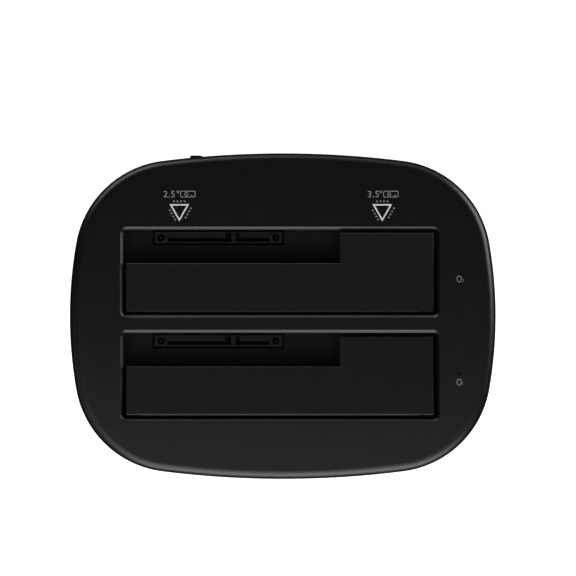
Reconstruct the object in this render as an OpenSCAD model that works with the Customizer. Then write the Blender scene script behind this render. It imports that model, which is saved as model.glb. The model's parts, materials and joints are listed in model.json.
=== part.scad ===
// Two-bay upright docking station for bare hard drives.
// X runs left to right, Y front to rear and Z up. The origin is on the standing surface, under the middle.

/* [Body] */
// Room at each side of the bay frame, out to the widest point of the body
side_room = 16.45; // [15.5:0.05:22]
// Room in front of the bay frame, out to the foremost point of the body
front_room = 14.1; // [13:0.05:20]
// Room behind the bay frame for the sockets, out to the rearmost point of the body
rear_room = 23.1; // [22:0.05:30]
// Height of the crown above the standing surface
body_h = 62; // [58:0.5:76]
// Radius of the bowed left and right sides
side_r = 140; // [125:1:170]
// Radius of the bowed front and rear
front_r = 316; // [260:1:380]
// Radius of the four corners
corner_r = 33; // [30:0.5:36]
// Radius of the crown of the top, seen from the side
crown_r = 600; // [540:10:1500]
// Radius of the rounded top edge
edge_r = 3; // [2:0.25:3.5]
// Inset of the walls at the foot, which gives the sides their draft
draft = 1.6; // [0.4:0.1:2.2]
// Thickness of the shell walls
wall = 2.2; // [1.8:0.1:2.6]
// Thickness of the roof under the crown
roof_t = 3.2; // [2.9:0.1:4]

/* [Base] */
// Height of the joint line between base and top cover
seam_z = 8; // [7.5:0.25:8.5]
// Bevel on both sides of the joint line
seam_bevel = 0.4; // [0.2:0.1:0.6]
// Thickness of the base floor
base_t = 2; // [1.6:0.1:2.4]
// Bevel round the bottom edge of the base
base_bevel = 1.5; // [0.8:0.1:2]
// Thickness of the locating lip inside the joint
lip_t = 1.2; // [1:0.1:1.6]
// Height of the locating lip above the joint line
lip_h = 2; // [1:0.25:3]
// Clearance between parts that slot together
fit_gap = 0.15; // [0.1:0.05:0.25]

/* [Feet] */
// Radius of the rubber feet
foot_r = 5.5; // [4:0.25:6]
// Height that the feet hold the base off the surface
foot_h = 1.5; // [1:0.25:2.5]
// Depth of the recess that each foot is glued into
foot_sink = 0.5; // [0.3:0.1:0.8]
// Width of the label recess under the base
label_w = 48; // [30:1:60]
// Depth of the label recess, front to rear
label_d = 26; // [15:1:40]
// Sink of the label recess into the base
label_sink = 0.3; // [0.2:0.1:0.5]

/* [Drive bays] */
// Width of the large drive
drive_w = 101.6; // [101:0.1:102.4]
// Thickness of the large drive
drive_t = 26.1; // [25.4:0.1:26.6]
// Width of the small drive
small_w = 69.85; // [69:0.05:70.5]
// Thickness of the small drive
small_t = 9.5; // [7:0.5:12.5]
// Play of a drive across its width
play_w = 2.2; // [1.8:0.1:2.6]
// Play of the large drive across its thickness
play_t = 1.9; // [1.8:0.1:2.2]
// Play of the small drive across its width
small_play = 1.7; // [1.2:0.1:2]
// Play of the small drive across its thickness
small_play_t = 1.5; // [1.2:0.1:2]
// Width of the bar between the bays
bay_bar = 6; // [5.8:0.1:7]
// Offset of the bays to the right of the body's middle
bay_x = -0.9; // [-1.5:0.1:1]
// Bevel round each bay's rim
rim_bevel = 1.1; // [0.6:0.1:1.2]
// Corner radius of each bay's rim
rim_r = 1.2; // [0.8:0.1:2]

/* [Bay frame] */
// Thickness of the bay frame's outer walls
frame_wall = 1.8; // [1.4:0.1:2]
// Thickness of the bay frame's floor
frame_floor = 2; // [1.6:0.1:2.6]
// Depth of the pocket in front of a bay that takes the open flap
flap_pocket = 0.9; // [0.7:0.1:1.1]
// Set-back of a bay's rear wall behind the rim
rear_set = 0.3; // [0.2:0.1:0.5]
// Distance of the fixing ears before and behind the middle of the bays
ear_y = 28; // [27:0.5:29]
// Radius of the fixing ears
ear_r = 3.2; // [3:0.1:3.6]
// Thickness of the fixing ears
ear_t = 2.4; // [2:0.1:3]
// Length of the bosses that the ears are screwed to
ear_boss_h = 6; // [5:0.5:8]
// Thickness of the skins where the frame's thick walls are cored out
skin_t = 1.5; // [1.2:0.1:1.6]
// Depth of the solid band along the top of the frame that holds the hinges
hinge_band = 12; // [10:0.5:14]

/* [Flaps] */
// Thickness of a flap
flap_t = 1.8; // [1.6:0.1:1.9]
// Depth of a flap's face below the crown
flap_drop = 1.7; // [1.6:0.05:1.8]
// Gap at each end of a flap
flap_side_gap = 1.3; // [1:0.1:1.6]
// Gap behind a flap
flap_rear_gap = 1; // [0.8:0.1:1.3]
// Gap in front of a flap
flap_front_gap = 0.6; // [0.5:0.1:1]
// Radius of the round edge along the front of the flaps
flap_edge_r = 0.5; // [0.3:0.05:0.6]
// Gap in front of a flap at its hinge ends
flap_end_gap = 1.1; // [0.9:0.1:2]
// Width of the hinge ends
flap_end_w = 5; // [4.8:0.1:6]

/* [Hinges] */
// Depth of the hinge axis below the ceiling
hinge_drop = 2.6; // [2.5:0.05:2.8]
// Distance of the hinge axis in front of the bay
hinge_set = 2.8; // [2.6:0.1:3]
// Radius of the hinge pins
pin_r = 1; // [0.8:0.05:1.1]
// Running clearance round the hinge pins
pin_fit = 0.05; // [0.03:0.01:0.08]
// Radius of the knuckles
knuckle_r = 1.6; // [1.4:0.05:1.7]
// Width of the hinge arms
arm_w = 4; // [3:0.1:4.2]
// Length of the hinge arms under the flap
arm_len = 7; // [6:0.25:9]
// Clearance round the hinge arms
arm_gap = 0.35; // [0.3:0.05:0.5]
// Gap between a closed flap's arms and the ceiling that stops them
stop_gap = 0.15; // [0.1:0.05:0.2]
// Wire thickness of the flap springs
spring_wire = 0.5; // [0.4:0.05:0.55]
// Gap between the turns of the flap springs
spring_gap = 0.45; // [0.42:0.01:0.6]
// Number of turns of the flap springs
spring_turns = 6; // [4:1:9]
// Length of the flap spring's legs
spring_leg = 6; // [5:0.5:8]

/* [Drive connectors] */
// Length of a connector's power slot
power_l = 20.9; // [20.4:0.1:21.4]
// Length of a connector's data slot
data_l = 10.9; // [10.4:0.1:11.4]
// Distance between the two slots
slot_gap = 1.6; // [1.4:0.1:2]
// Solid end of a connector beside its slots, with a guide hole in it
sata_end = 4.4; // [4.2:0.1:5]
// Depth of a drive connector
sata_d = 3.9; // [3.8:0.1:4.6]
// Height of a drive connector above the board
sata_h = 8.6; // [8:0.1:9.5]
// Distance of a connector from the left wall of its bay
sata_set_x = 10.5; // [9.5:0.1:11]
// Distance of a connector from the rear rim of its bay
sata_set_y = 0.65; // [0.5:0.05:1]
// Height of a connector above the bay floor
sata_proud = 0.6; // [0.3:0.1:1]
// Width of the connector's slots
sata_slot = 1.2; // [1.1:0.05:1.4]
// Wall in front of the connector's slots
sata_front = 0.7; // [0.6:0.05:0.9]
// Wall behind the key legs of the slots
sata_back = 0.5; // [0.4:0.05:0.7]
// Width of the power slot's key leg
power_key_w = 1.8; // [1.4:0.1:2]
// Width of the data slot's key leg
data_key_w = 1.3; // [1:0.1:1.6]
// Radius of the guide holes in a connector's ends
sata_guide_r = 1.15; // [1:0.05:1.3]
// Radius of the peg that stands in each guide hole
sata_peg_r = 0.45; // [0.3:0.05:0.5]
// Depth of the pegs below the connector's face
sata_peg_drop = 0.8; // [0.4:0.1:1.2]
// Pitch of the contacts
contact_pitch = 1.27; // [1.2:0.01:1.3]

/* [Board] */
// Thickness of the circuit board
board_t = 1.6; // [1.2:0.1:1.8]
// Height of the standoffs under the board
standoff_h = 3.9; // [3:0.1:4.5]
// Radius of the standoffs
standoff_r = 2.8; // [2.5:0.1:3.2]
// Distance of the standoffs from the middle, left and right
standoff_x = 38.5; // [36:0.5:39]
// Side of the bridge chip
chip_side = 9; // [7:0.5:10]
// Height of the chips
chip_h = 0.9; // [0.7:0.1:1.5]
// Length of the flash chip
flash_l = 5; // [4:0.5:6]
// Length of the crystal
crystal_l = 11; // [8:0.5:12]
// Height of the crystal
crystal_h = 3.4; // [3:0.1:4]
// Side of the inductors
inductor_side = 6.4; // [5:0.1:7]
// Height of the inductors
inductor_h = 3.2; // [2.5:0.1:4]
// Distance between neighbouring parts on the board
part_gap = 5; // [3:0.25:6]
// Radius of the smoothing capacitors
cap_r = 3.15; // [2.5:0.05:3.5]
// Height of the smoothing capacitors
cap_h = 7.7; // [5:0.1:10]

/* [Rear panel] */
// Set-back of the panel's face behind the rearmost point of the body
panel_set = 3.7; // [3.6:0.1:4.2]
// Thickness of the panel
panel_t = 2; // [1.6:0.1:2.4]
// Width of the window in the top cover
window_w = 69; // [66:0.5:70]
// Height of the window above the joint line
window_h = 15.5; // [15:0.25:18]
// Overlap of the panel above the window
panel_lap = 2; // [1.5:0.1:2.5]

/* [Data socket] */
// Distance of the data socket to the right of the power socket
usb_pitch = 20.5; // [18:0.5:23]
// Width of the data socket's mouth
usb_mouth_w = 8.6; // [8.5:0.05:8.8]
// Height of the data socket's mouth
usb_mouth_h = 10.2; // [10:0.05:10.5]
// Rim of the data socket's face round its mouth
usb_rim = 1.1; // [1:0.05:1.4]
// Side wall of the data socket beside its mouth
usb_cheek = 1.7; // [1.5:0.05:2]
// Depth of the data socket
usb_d = 16; // [14:0.5:18]
// Sheet thickness of the data socket's shell
usb_sheet = 0.4; // [0.3:0.05:0.5]

/* [Power socket] */
// Distance of the power socket to the right of the switch
jack_pitch = 18; // [16:0.5:20]
// Width of the power socket
jack_w = 9; // [8.6:0.1:9.4]
// Height of the power socket
jack_h = 11; // [10.5:0.1:11.5]
// Depth of the power socket
jack_d = 14; // [12:0.5:15]
// Height of the power socket's barrel above the board
jack_lift = 6.5; // [6:0.1:7]
// Radius of the power socket's barrel
jack_r = 3.2; // [3:0.05:3.4]
// Radius of the power socket's centre pin
jack_pin_r = 1.05; // [1:0.05:1.3]

/* [Power switch] */
// Distance of the switch's middle from the left edge of the window
switch_edge = 8.75; // [8.5:0.25:10]
// Height of the switch's middle above the board
switch_lift = 6.8; // [6.6:0.1:7.2]
// Length of the rocker
rocker_l = 10.2; // [9:0.1:10.4]
// Height of the rocker
rocker_w = 6.6; // [6:0.1:7]
// Highest line of the rocker's pads above its pivot
rocker_rise = 2.6; // [2.4:0.05:2.7]
// Width of the valley between the rocker's pads
rocker_valley_w = 3.6; // [2.6:0.2:4.6]
// Depth of the valley between the rocker's pads
rocker_valley_d = 0.45; // [0.2:0.05:0.7]
// Rocker back below its pivot
rocker_sink = 2.2; // [1.8:0.1:2.4]
// Tilt of the rocker to each side
rocker_tilt = 10.5; // [8:0.5:11]
// Clearance round the rocker
rocker_gap = 0.5; // [0.45:0.05:0.7]
// Width of the frame round the rocker
bezel_w = 1.9; // [1.6:0.1:2.2]
// Thickness of the frame that stands on the panel
bezel_t = 1.2; // [1:0.1:1.4]
// Depth of the switch body behind the panel's face
switch_d = 12; // [11:0.5:13]

/* [Lights] */
// Distance of the status lights from the bay frame
led_gap = 5.4; // [5:0.1:6]
// Distance of the status lights behind the middle of their bays
led_set_y = 0.5; // [0:0.1:1]
// Radius of a light guide
guide_r = 1.2; // [1:0.05:1.4]
// Radius of a light guide's tip in the top
guide_tip_r = 0.55; // [0.4:0.05:0.7]

/* [Screws] */
// Shank radius of the case screws
case_screw_r = 1.45; // [1.2:0.05:1.5]
// Length of the case screws
case_screw_l = 14; // [12:0.5:18]
// Radius of the posts that the case screws hold
post_r = 3.4; // [3.2:0.1:3.6]
// Distance of the front posts from the middle
post_front_x = 26; // [22:0.5:28]
// Shank radius of the board and frame screws
small_screw_r = 1.2; // [1:0.05:1.25]
// Length of the board and frame screws
small_screw_l = 5.5; // [5:0.25:6]

/* [Hidden] */
$fn = 48;
eps = 0.01;

// Steps along each arc of a quarter of the outline, and up the rounded edge
side_steps = 4;
corner_steps = 13;
front_steps = 5;
edge_steps = 6;
quarter = side_steps + corner_steps + front_steps;
rim_steps = 4;

// Heights, from the surface up
base_z = foot_h + base_t;
board_z = base_z + standoff_h;
board_top = board_z + board_t;
sata_top = board_top + sata_h;
bay_floor_z = sata_top - sata_proud;
ceiling_z = body_h - roof_t;
flap_z = body_h - flap_drop;
hinge_z = ceiling_z - hinge_drop;
post_z = seam_z + lip_h + fit_gap;
window_z = seam_z + window_h;
ear_z = ceiling_z - ear_boss_h;

// Size of the bays, of the frame round them and of the body round that
bay_w = drive_w + play_w;
bay_d = drive_t + play_t;
slot_w = small_w + small_play;
slot_d = small_t + small_play_t;
bay_pitch = bay_d + bay_bar;
frame_w = bay_w + 2 * frame_wall;
frame_d = 2 * bay_pitch + rear_set + frame_wall;
body_w = frame_w + 2 * side_room;
body_d = frame_d + front_room + rear_room;

// Outline: side arcs, front arcs and corner arcs that run into each other
half_w = body_w / 2;
half_d = body_d / 2;
side_c = [half_w - side_r, 0];
front_c = [0, half_d - front_r];
reach_side = side_r - corner_r;
reach_front = front_r - corner_r;
centres = front_c - side_c;
span = norm(centres);
along = (reach_side ^ 2 - reach_front ^ 2 + span ^ 2) / (2 * span);
across = sqrt(reach_side ^ 2 - along ^ 2);
heading = centres / span;
corner_c = side_c + along * heading + across * [-heading.y, heading.x];
side_turn = atan2(corner_c.y - side_c.y, corner_c.x - side_c.x);
front_turn = atan2(corner_c.y - front_c.y, corner_c.x - front_c.x);

function crown_z(y) = body_h - crown_r + sqrt(crown_r ^ 2 - y ^ 2);
shoulder_z = crown_z(half_d) - edge_r;
function wall_inset(z) = draft * (shoulder_z - min(z, shoulder_z)) / (shoulder_z - foot_h);
function arc_point(c, r, a) = c + r * [cos(a), sin(a)];
function quarter_points(d) = concat(
    [for (i = [0:side_steps - 1]) arc_point(side_c, side_r - d, side_turn * i / side_steps)],
    [for (i = [0:corner_steps - 1])
        arc_point(corner_c, corner_r - d, side_turn + (front_turn - side_turn) * i / corner_steps)],
    [for (i = [0:front_steps - 1])
        arc_point(front_c, front_r - d, front_turn + (90 - front_turn) * i / front_steps)]);
function outline(d) = let (q = quarter_points(d)) concat(
    q,
    [[0, half_d - d]],
    [for (i = [1:quarter]) [-q[quarter - i].x, q[quarter - i].y]],
    [for (i = [1:quarter - 1]) -q[i]],
    [[0, d - half_d]],
    [for (i = [1:quarter - 1]) [q[quarter - i].x, -q[quarter - i].y]]);
function flat_ring(d, z) = [for (p = outline(d)) [p.x, p.y, z]];

// Bays: the rear one is number 0 and the front one is number 1
BAYS = [0, 1];
bay_x0 = bay_x - bay_w / 2;
bay_x1 = bay_x + bay_w / 2;
frame_y0 = front_room - half_d;
frame_y1 = frame_y0 + frame_d;
bay_mid_y = frame_y0 + bay_bar / 2 + bay_pitch;
function bay_y(k) = bay_mid_y + (0.5 - k) * bay_pitch;
function bay_front(k) = bay_y(k) - bay_d / 2;
function bay_rear(k) = bay_y(k) + bay_d / 2;
function hinge_y(k) = bay_front(k) - hinge_set;
function well_front(k) = bay_front(k) - flap_pocket;
function well_rear(k) = bay_rear(k) + rear_set;
frame_x0 = bay_x0 - frame_wall;
frame_x1 = bay_x1 + frame_wall;
EARS = [for (x = [frame_x0 - ear_r, frame_x1 + ear_r], s = [-1, 1]) [x, bay_mid_y + s * ear_y]];

// Flaps and their hinges
flap_x0 = bay_x0 + flap_side_gap;
flap_x1 = bay_x1 - flap_side_gap;
arm_side = (flap_end_w - arm_w) / 2;
ARM_X = [flap_x0 + arm_side, flap_x1 - arm_side - arm_w];
knuckle_gap = 0.3;
pin_inset = 1;
spring_mean_r = pin_r + 0.2 + spring_wire / 2;
spring_run = (spring_turns + 0.25) * (spring_wire + spring_gap);
spring_len = spring_run + spring_wire;
coil_r = spring_mean_r + spring_wire / 2;
spring_room = spring_len + 2;
keeper_x = 30;
KEEPER_X = [bay_x - keeper_x, bay_x + keeper_x];
keeper_l = 6;
keeper_gap = 0.05;

// Drive connectors, measured from the connector's left end
sata_x0 = bay_x0 + sata_set_x;
sata_w = power_l + slot_gap + data_l + 2 * sata_end;
function sata_y0(k) = bay_rear(k) - sata_set_y - sata_d;
power_at = sata_end;
data_at = power_at + power_l + slot_gap;
POWER = [power_at, power_l, 15];
DATA = [data_at, data_l, 7];
power_key_at = power_at + power_l - power_key_w;
sata_depth = 6.5;
sata_key = sata_d - sata_front - sata_slot - sata_back;
GUIDE_X = [sata_end / 2, sata_w - sata_end / 2];
sata_gap = 0.4;
contact_w = 0.6;
contact_t = 0.3;
contact_drop = 1.6;

// Status lights
led_x = frame_x1 + led_gap;
function led_y(k) = bay_y(k) + led_set_y;
led_h = 0.7;
guide_sleeve_r = guide_r + 1.3;
guide_sleeve_h = 10;
guide_step = 1;
guide_gap = 0.3;

// Rear panel and what comes through it
panel_y = half_d - panel_set;
panel_back = panel_y - panel_t;
panel_w = window_w - 2 * fit_gap;
panel_top = window_z + panel_lap;
panel_foot = seam_z + fit_gap;
hole_gap = 0.3;
channel_w = 1.8;
channel_t = 1.6;
switch_x = switch_edge - window_w / 2;
jack_x = switch_x + jack_pitch;
usb_x = jack_x + usb_pitch;
usb_w = usb_mouth_w + 2 * usb_cheek;
usb_h = usb_mouth_h + 2 * usb_rim;
switch_z = board_top + switch_lift;
pivot_y = panel_y + 0.1;
bezel_y = panel_y + bezel_t;
mouth_l = rocker_l + 2 * rocker_gap;
mouth_w = rocker_w + 2 * rocker_gap;
switch_l = mouth_l + 2;
switch_w = mouth_w + 2;
trunnion_r = 0.8;
trunnion_l = 0.9;
mouth_floor = pivot_y - rocker_sink - rocker_l * sin(rocker_tilt) / 2 - 0.3;
switch_back = panel_y - switch_d;
blade_t = 0.6;
blade_w = 2.4;
blade_l = 2.6;
BLADE_X = [-3.2, 3.2];
jack_z = board_top + jack_lift;
jack_bore = 10;
jack_pin_l = 9.4;
usb_face = panel_y + 0.3;

// Board outline: a body under the bays, a tab for the lights and a tail to the sockets
board_rear = panel_back - 2.4;
board_front = bay_front(1) + 6;
board_side = bay_x1 - 5;
board_tail = 41.5;
board_tail_y = well_rear(0) + 4;
tab_x = led_x + 3.4;
TAB_Y = [led_y(1) - 5, led_y(0) + 5];
standoff_edge = 5;
STANDOFFS = [for (sx = [-1, 1], y = [board_front + standoff_edge, board_rear - standoff_edge])
    [sx * standoff_x, y]];
chip_at = [sata_x0 + sata_w + 2 * part_gap + chip_side, sata_y0(0) - part_gap - chip_side];
flash_w = 0.8 * flash_l;
flash_at = chip_at + [chip_side / 2 + part_gap + flash_l / 2, 0];
crystal_w = 0.41 * crystal_l;
crystal_at = chip_at - [0, chip_side / 2 + part_gap + crystal_w / 2];
INDUCTORS = [for (i = [0, 1]) [sata_x0 + sata_w / 2 + i * (inductor_side + part_gap), chip_at.y]];
cap_y = board_rear - 3 * cap_r;
cap_gap = 0.6;
CAPACITORS = [for (x = [
    (usb_x - usb_w / 2 + jack_x + jack_w / 2) / 2,
    usb_x + usb_w / 2 + cap_r + cap_gap,
    usb_x + usb_w / 2 + 3 * cap_r + 2 * cap_gap]) [x, cap_y]];

// Screws
small_head_r = 2.2;
small_head_h = 1.4;
case_head_r = 2.7;
case_head_h = 1.8;
case_sink = 2.6;
screw_play = 0.15;
thread_play = 0.05;
cross_w = 0.7;
cross_d = 0.9;
post_rear_turn = 60;
post_edge = post_r + 0.2;
post_bow = post_front_x ^ 2 / (2 * front_r);
POSTS = concat(
    [for (s = [-1, 1]) let (p = arc_point(corner_c, corner_r - draft - wall - post_edge, post_rear_turn))
        [s * p.x, p.y]],
    [for (s = [-1, 1]) [s * post_front_x, draft + wall + post_edge + post_bow - half_d]]);
foot_edge = 17;
foot_turn = 50;
foot_at = arc_point(corner_c, corner_r - foot_edge, foot_turn);
FEET = [for (sx = [-1, 1], sy = [-1, 1]) [sx * foot_at.x, sy * foot_at.y]];

// General shapes

// Closed solid through rings of equally many points, each ring above the last. The top ring's left and right
// points pair up at equal Y, so its cap is a row of strips across the body.
module ring_loft(rings, strips = false) {
    n = len(rings[0]);
    last = (len(rings) - 1) * n;
    half = n / 2;
    sides = [for (r = [0:len(rings) - 2], i = [0:n - 1], t = [0, 1])
        let (a = r * n + i, b = r * n + (i + 1) % n)
            t == 0 ? [a, a + n, b + n] : [a, b + n, b]];
    rear_strips = [for (i = [0:quarter - 1]) i == quarter - 1
        ? [last + half - i, last + half - i - 1, last + i]
        : [last + half - i, last + half - i - 1, last + i + 1, last + i]];
    front_strips = [for (i = [0:quarter - 1]) i == quarter - 1
        ? [last + (n - i) % n, last + n - i - 1, last + half + i]
        : [last + (n - i) % n, last + n - i - 1, last + half + i + 1, last + half + i]];
    flat_cap = [[for (i = [0:n - 1]) last + n - 1 - i]];
    polyhedron(
        points = [for (ring = rings) each ring],
        faces = concat(
            [[for (i = [0:n - 1]) i]], sides, strips ? concat(rear_strips, front_strips) : flat_cap));
}

module rod(p, r, l) {
    translate(p) rotate([0, 90, 0]) cylinder(r = r, h = l);
}

module block(low, high) {
    translate(low) cube(high - low);
}

module prism_x(points, x0, x1) {
    translate([x0, 0, 0]) rotate([90, 0, 90]) linear_extrude(x1 - x0) polygon(points);
}

module post(p, r, z0, z1) {
    translate([p.x, p.y, z0]) cylinder(r = r, h = z1 - z0);
}

// Cross-head screw whose head rests on z = 0, pointing up, or down where flip is true
module screw(r, l, head_r, head_h, flip = false) {
    cross_l = 1.24 * head_r;
    mirror([0, 0, flip ? 1 : 0]) difference() {
        union() {
            translate([0, 0, -head_h]) cylinder(r = head_r, h = head_h);
            translate([0, 0, -eps]) cylinder(r = r, h = l + eps);
        }
        for (a = [0, 90]) rotate([0, 0, a])
            block([-cross_l / 2, -cross_w / 2, -head_h - 1], [cross_l / 2, cross_w / 2, cross_d - head_h]);
    }
}

// Case

function edge_ring(t) = let (inner = outline(edge_r), ring = outline(edge_r * (1 - cos(t))))
    [for (i = [0:len(ring) - 1]) [ring[i].x, ring[i].y, crown_z(inner[i].y) - edge_r * (1 - sin(t))]];

module cover_form() {
    foot_inset = wall_inset(seam_z);
    rings = concat(
        [flat_ring(foot_inset + seam_bevel, seam_z), flat_ring(foot_inset, seam_z + seam_bevel)],
        [flat_ring(0, shoulder_z - edge_r / 4)],
        [for (j = [0:edge_steps]) edge_ring(90 * j / edge_steps)]);
    ring_loft(rings, strips = true);
}

module cover_room() {
    ring_loft([
        flat_ring(wall_inset(seam_z) + wall, seam_z - 1),
        flat_ring(wall, ceiling_z - edge_r),
        flat_ring(wall + edge_r / 2, ceiling_z)
    ]);
}

// A bay's mouth with its bevelled rim, which follows the crown
function rim_ring(k, grow) = [for (c = [[1, 1], [-1, 1], [-1, -1], [1, -1]], i = [0:rim_steps])
    let (
        turn = c.x > 0 ? (c.y > 0 ? 0 : 270) : (c.y > 0 ? 90 : 180),
        a = turn + 90 * i / rim_steps)
        [bay_x + c.x * (bay_w / 2 - rim_r) + (rim_r + grow) * cos(a),
            bay_y(k) + c.y * (bay_d / 2 - rim_r) + (rim_r + grow) * sin(a)]];

module bay_mouth(k) {
    above = 1;
    straight = rim_ring(k, 0);
    flared = rim_ring(k, rim_bevel + above);
    ring_loft([
        [for (p = straight) [p.x, p.y, ceiling_z - 1]],
        [for (p = straight) [p.x, p.y, crown_z(p.y) - rim_bevel]],
        [for (p = flared) [p.x, p.y, crown_z(p.y) + above]]
    ]);
}

module panel_channel() {
    for (s = [-1, 1]) mirror([s < 0 ? 1 : 0, 0, 0])
        block([window_w / 2 - channel_w, panel_back - fit_gap - channel_t, seam_z + lip_h + 1],
            [window_w / 2 + channel_w, half_d, panel_top + channel_w]);
    block([-window_w / 2 - eps, panel_back - fit_gap - channel_t, window_z],
        [window_w / 2 + eps, half_d, panel_top + channel_w]);
}

module panel_slot() {
    block([-window_w / 2, panel_back - fit_gap, seam_z - 1], [window_w / 2, panel_y, panel_top + fit_gap]);
    block([-window_w / 2, panel_y - eps, seam_z - 1], [window_w / 2, half_d + 1, window_z]);
    block([channel_w - window_w / 2, panel_back - fit_gap - channel_t - 1, seam_z - 1],
        [window_w / 2 - channel_w, panel_y, window_z]);
}

module top_cover() {
    color([0.07, 0.07, 0.075]) difference() {
        union() {
            difference() {
                cover_form();
                cover_room();
            }
            intersection() {
                cover_form();
                union() {
                    panel_channel();
                    for (p = POSTS) post(p, post_r, post_z, ceiling_z + eps);
                }
            }
            for (p = EARS) post(p, ear_r, ear_z, ceiling_z + eps);
            for (k = BAYS)
                post([led_x, led_y(k)], guide_sleeve_r, ceiling_z - guide_sleeve_h, ceiling_z + eps);
            for (k = BAYS, x = KEEPER_X)
                block([x - keeper_l / 2, hinge_y(k) - pin_r * 0.9, hinge_z + pin_r + keeper_gap],
                    [x + keeper_l / 2, hinge_y(k) + pin_r * 0.9, ceiling_z + eps]);
        }
        for (k = BAYS) bay_mouth(k);
        for (k = BAYS) {
            post([led_x, led_y(k)], guide_r + thread_play, ceiling_z - guide_sleeve_h - 1,
                crown_z(led_y(k)) - guide_step);
            post([led_x, led_y(k)], guide_tip_r + thread_play, ceiling_z, body_h + 1);
        }
        for (p = POSTS) post(p, case_screw_r + thread_play, post_z - 1, post_z + case_screw_l);
        for (p = EARS) post(p, small_screw_r + thread_play, ear_z - 1, ear_z + small_screw_l);
        panel_slot();
    }
}

module base_form() {
    foot_inset = wall_inset(foot_h);
    seam_inset = wall_inset(seam_z);
    ring_loft([
        flat_ring(foot_inset + base_bevel, foot_h),
        flat_ring(wall_inset(foot_h + base_bevel), foot_h + base_bevel),
        flat_ring(seam_inset, seam_z - seam_bevel),
        flat_ring(seam_inset + seam_bevel, seam_z)
    ]);
}

module base_lip() {
    inset = wall_inset(seam_z) + wall + fit_gap;
    difference() {
        ring_loft([flat_ring(inset, seam_z - 1), flat_ring(inset, seam_z + lip_h)]);
        block([-window_w / 2 - channel_w - 1, 0, seam_z],
            [window_w / 2 + channel_w + 1, half_d, seam_z + lip_h + 1]);
    }
}

module base_cover() {
    room_inset = wall_inset(seam_z) + wall + fit_gap + lip_t;
    color([0.07, 0.07, 0.075]) difference() {
        union() {
            difference() {
                union() {
                    base_form();
                    base_lip();
                }
                ring_loft([flat_ring(room_inset, base_z), flat_ring(room_inset, seam_z + lip_h + 1)]);
            }
            for (p = STANDOFFS) post(p, standoff_r, base_z - eps, board_z);
            for (p = POSTS) post(p, post_r, base_z - eps, post_z);
        }
        for (p = STANDOFFS) post(p, small_screw_r + thread_play, base_z, board_z + 1);
        for (p = POSTS) {
            post(p, case_screw_r + screw_play, foot_h - 1, post_z + 1);
            post(p, case_head_r + screw_play, foot_h - 1, foot_h + case_sink);
        }
        for (p = FEET) post(p, foot_r, foot_h - 1, foot_h + foot_sink);
        block([-label_w / 2, -label_d / 2, foot_h - 1], [label_w / 2, label_d / 2, foot_h + label_sink]);
    }
}

module rubber_feet() {
    color([0.05, 0.05, 0.05]) for (p = FEET) post(p, foot_r, 0, foot_h + foot_sink);
}

// Bay frame

module hinge_cuts(k) {
    y = hinge_y(k);
    groove = pin_r + pin_fit;
    rod([frame_x0 + pin_inset - pin_fit, y, hinge_z], groove,
        frame_x1 - frame_x0 - 2 * (pin_inset - pin_fit));
    block([frame_x0 + pin_inset - pin_fit, y - groove, hinge_z],
        [frame_x1 - pin_inset + pin_fit, y + groove, ceiling_z + 1]);
    for (x = ARM_X)
        block([x - arm_gap, y - knuckle_r - knuckle_gap, hinge_z - arm_len - 1],
            [x + arm_w + arm_gap, well_rear(k) - 1, ceiling_z + 1]);
    block(
        [bay_x - spring_room / 2, y - coil_r - knuckle_gap, hinge_z - spring_leg - 1],
        [bay_x + spring_room / 2, well_rear(k) - 1, ceiling_z + 1]);
}

// Hollows that leave the front wall and the bar between the bays with even skins below the hinges
module frame_cores() {
    under = bay_floor_z - frame_floor - 1;
    block([frame_x0 - 1, frame_y0 - 1, under],
        [frame_x1 + 1, well_front(1) - skin_t, ceiling_z - hinge_band]);
    block([frame_x0 + frame_wall, well_rear(1) + skin_t, under],
        [frame_x1 - frame_wall, well_front(0) - skin_t, ceiling_z - hinge_band]);
}

module bay_frame() {
    color([0.05, 0.05, 0.055]) difference() {
        union() {
            block([frame_x0, frame_y0, bay_floor_z - frame_floor], [frame_x1, frame_y1, ceiling_z]);
            for (p = EARS) {
                post(p, ear_r, ear_z - ear_t, ear_z);
                block([min(p.x, p.x < 0 ? frame_x0 + eps : frame_x1 - eps), p.y - ear_r, ear_z - ear_t],
                    [max(p.x, p.x < 0 ? frame_x0 + eps : frame_x1 - eps), p.y + ear_r, ear_z]);
            }
        }
        for (k = BAYS) {
            block([bay_x0, well_front(k), bay_floor_z], [bay_x1, well_rear(k), ceiling_z + 1]);
            hinge_cuts(k);
            block([sata_x0 - sata_gap, sata_y0(k) - sata_gap, bay_floor_z - frame_floor - 1],
                [sata_x0 + sata_w + sata_gap, sata_y0(k) + sata_d + sata_gap, bay_floor_z + 1]);
        }
        frame_cores();
        for (p = EARS) post(p, small_screw_r + screw_play, ear_z - ear_t - 1, ear_z + 1);
    }
}

// Flaps

// Where the front of a flap's plate meets its round edge
function flap_edge_y(k) = bay_front(k) + flap_front_gap + flap_edge_r;

function flap_outline(k) = [
    [flap_x0, bay_front(k) + flap_end_gap],
    [flap_x0 + flap_end_w, bay_front(k) + flap_end_gap],
    [flap_x0 + flap_end_w, flap_edge_y(k)],
    [flap_x1 - flap_end_w, flap_edge_y(k)],
    [flap_x1 - flap_end_w, bay_front(k) + flap_end_gap],
    [flap_x1, bay_front(k) + flap_end_gap],
    [flap_x1, bay_rear(k) - flap_rear_gap],
    [bay_x0 + slot_w, bay_rear(k) - flap_rear_gap],
    [bay_x0 + slot_w, bay_rear(k) - slot_d],
    [flap_x0, bay_rear(k) - slot_d]
];

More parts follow.
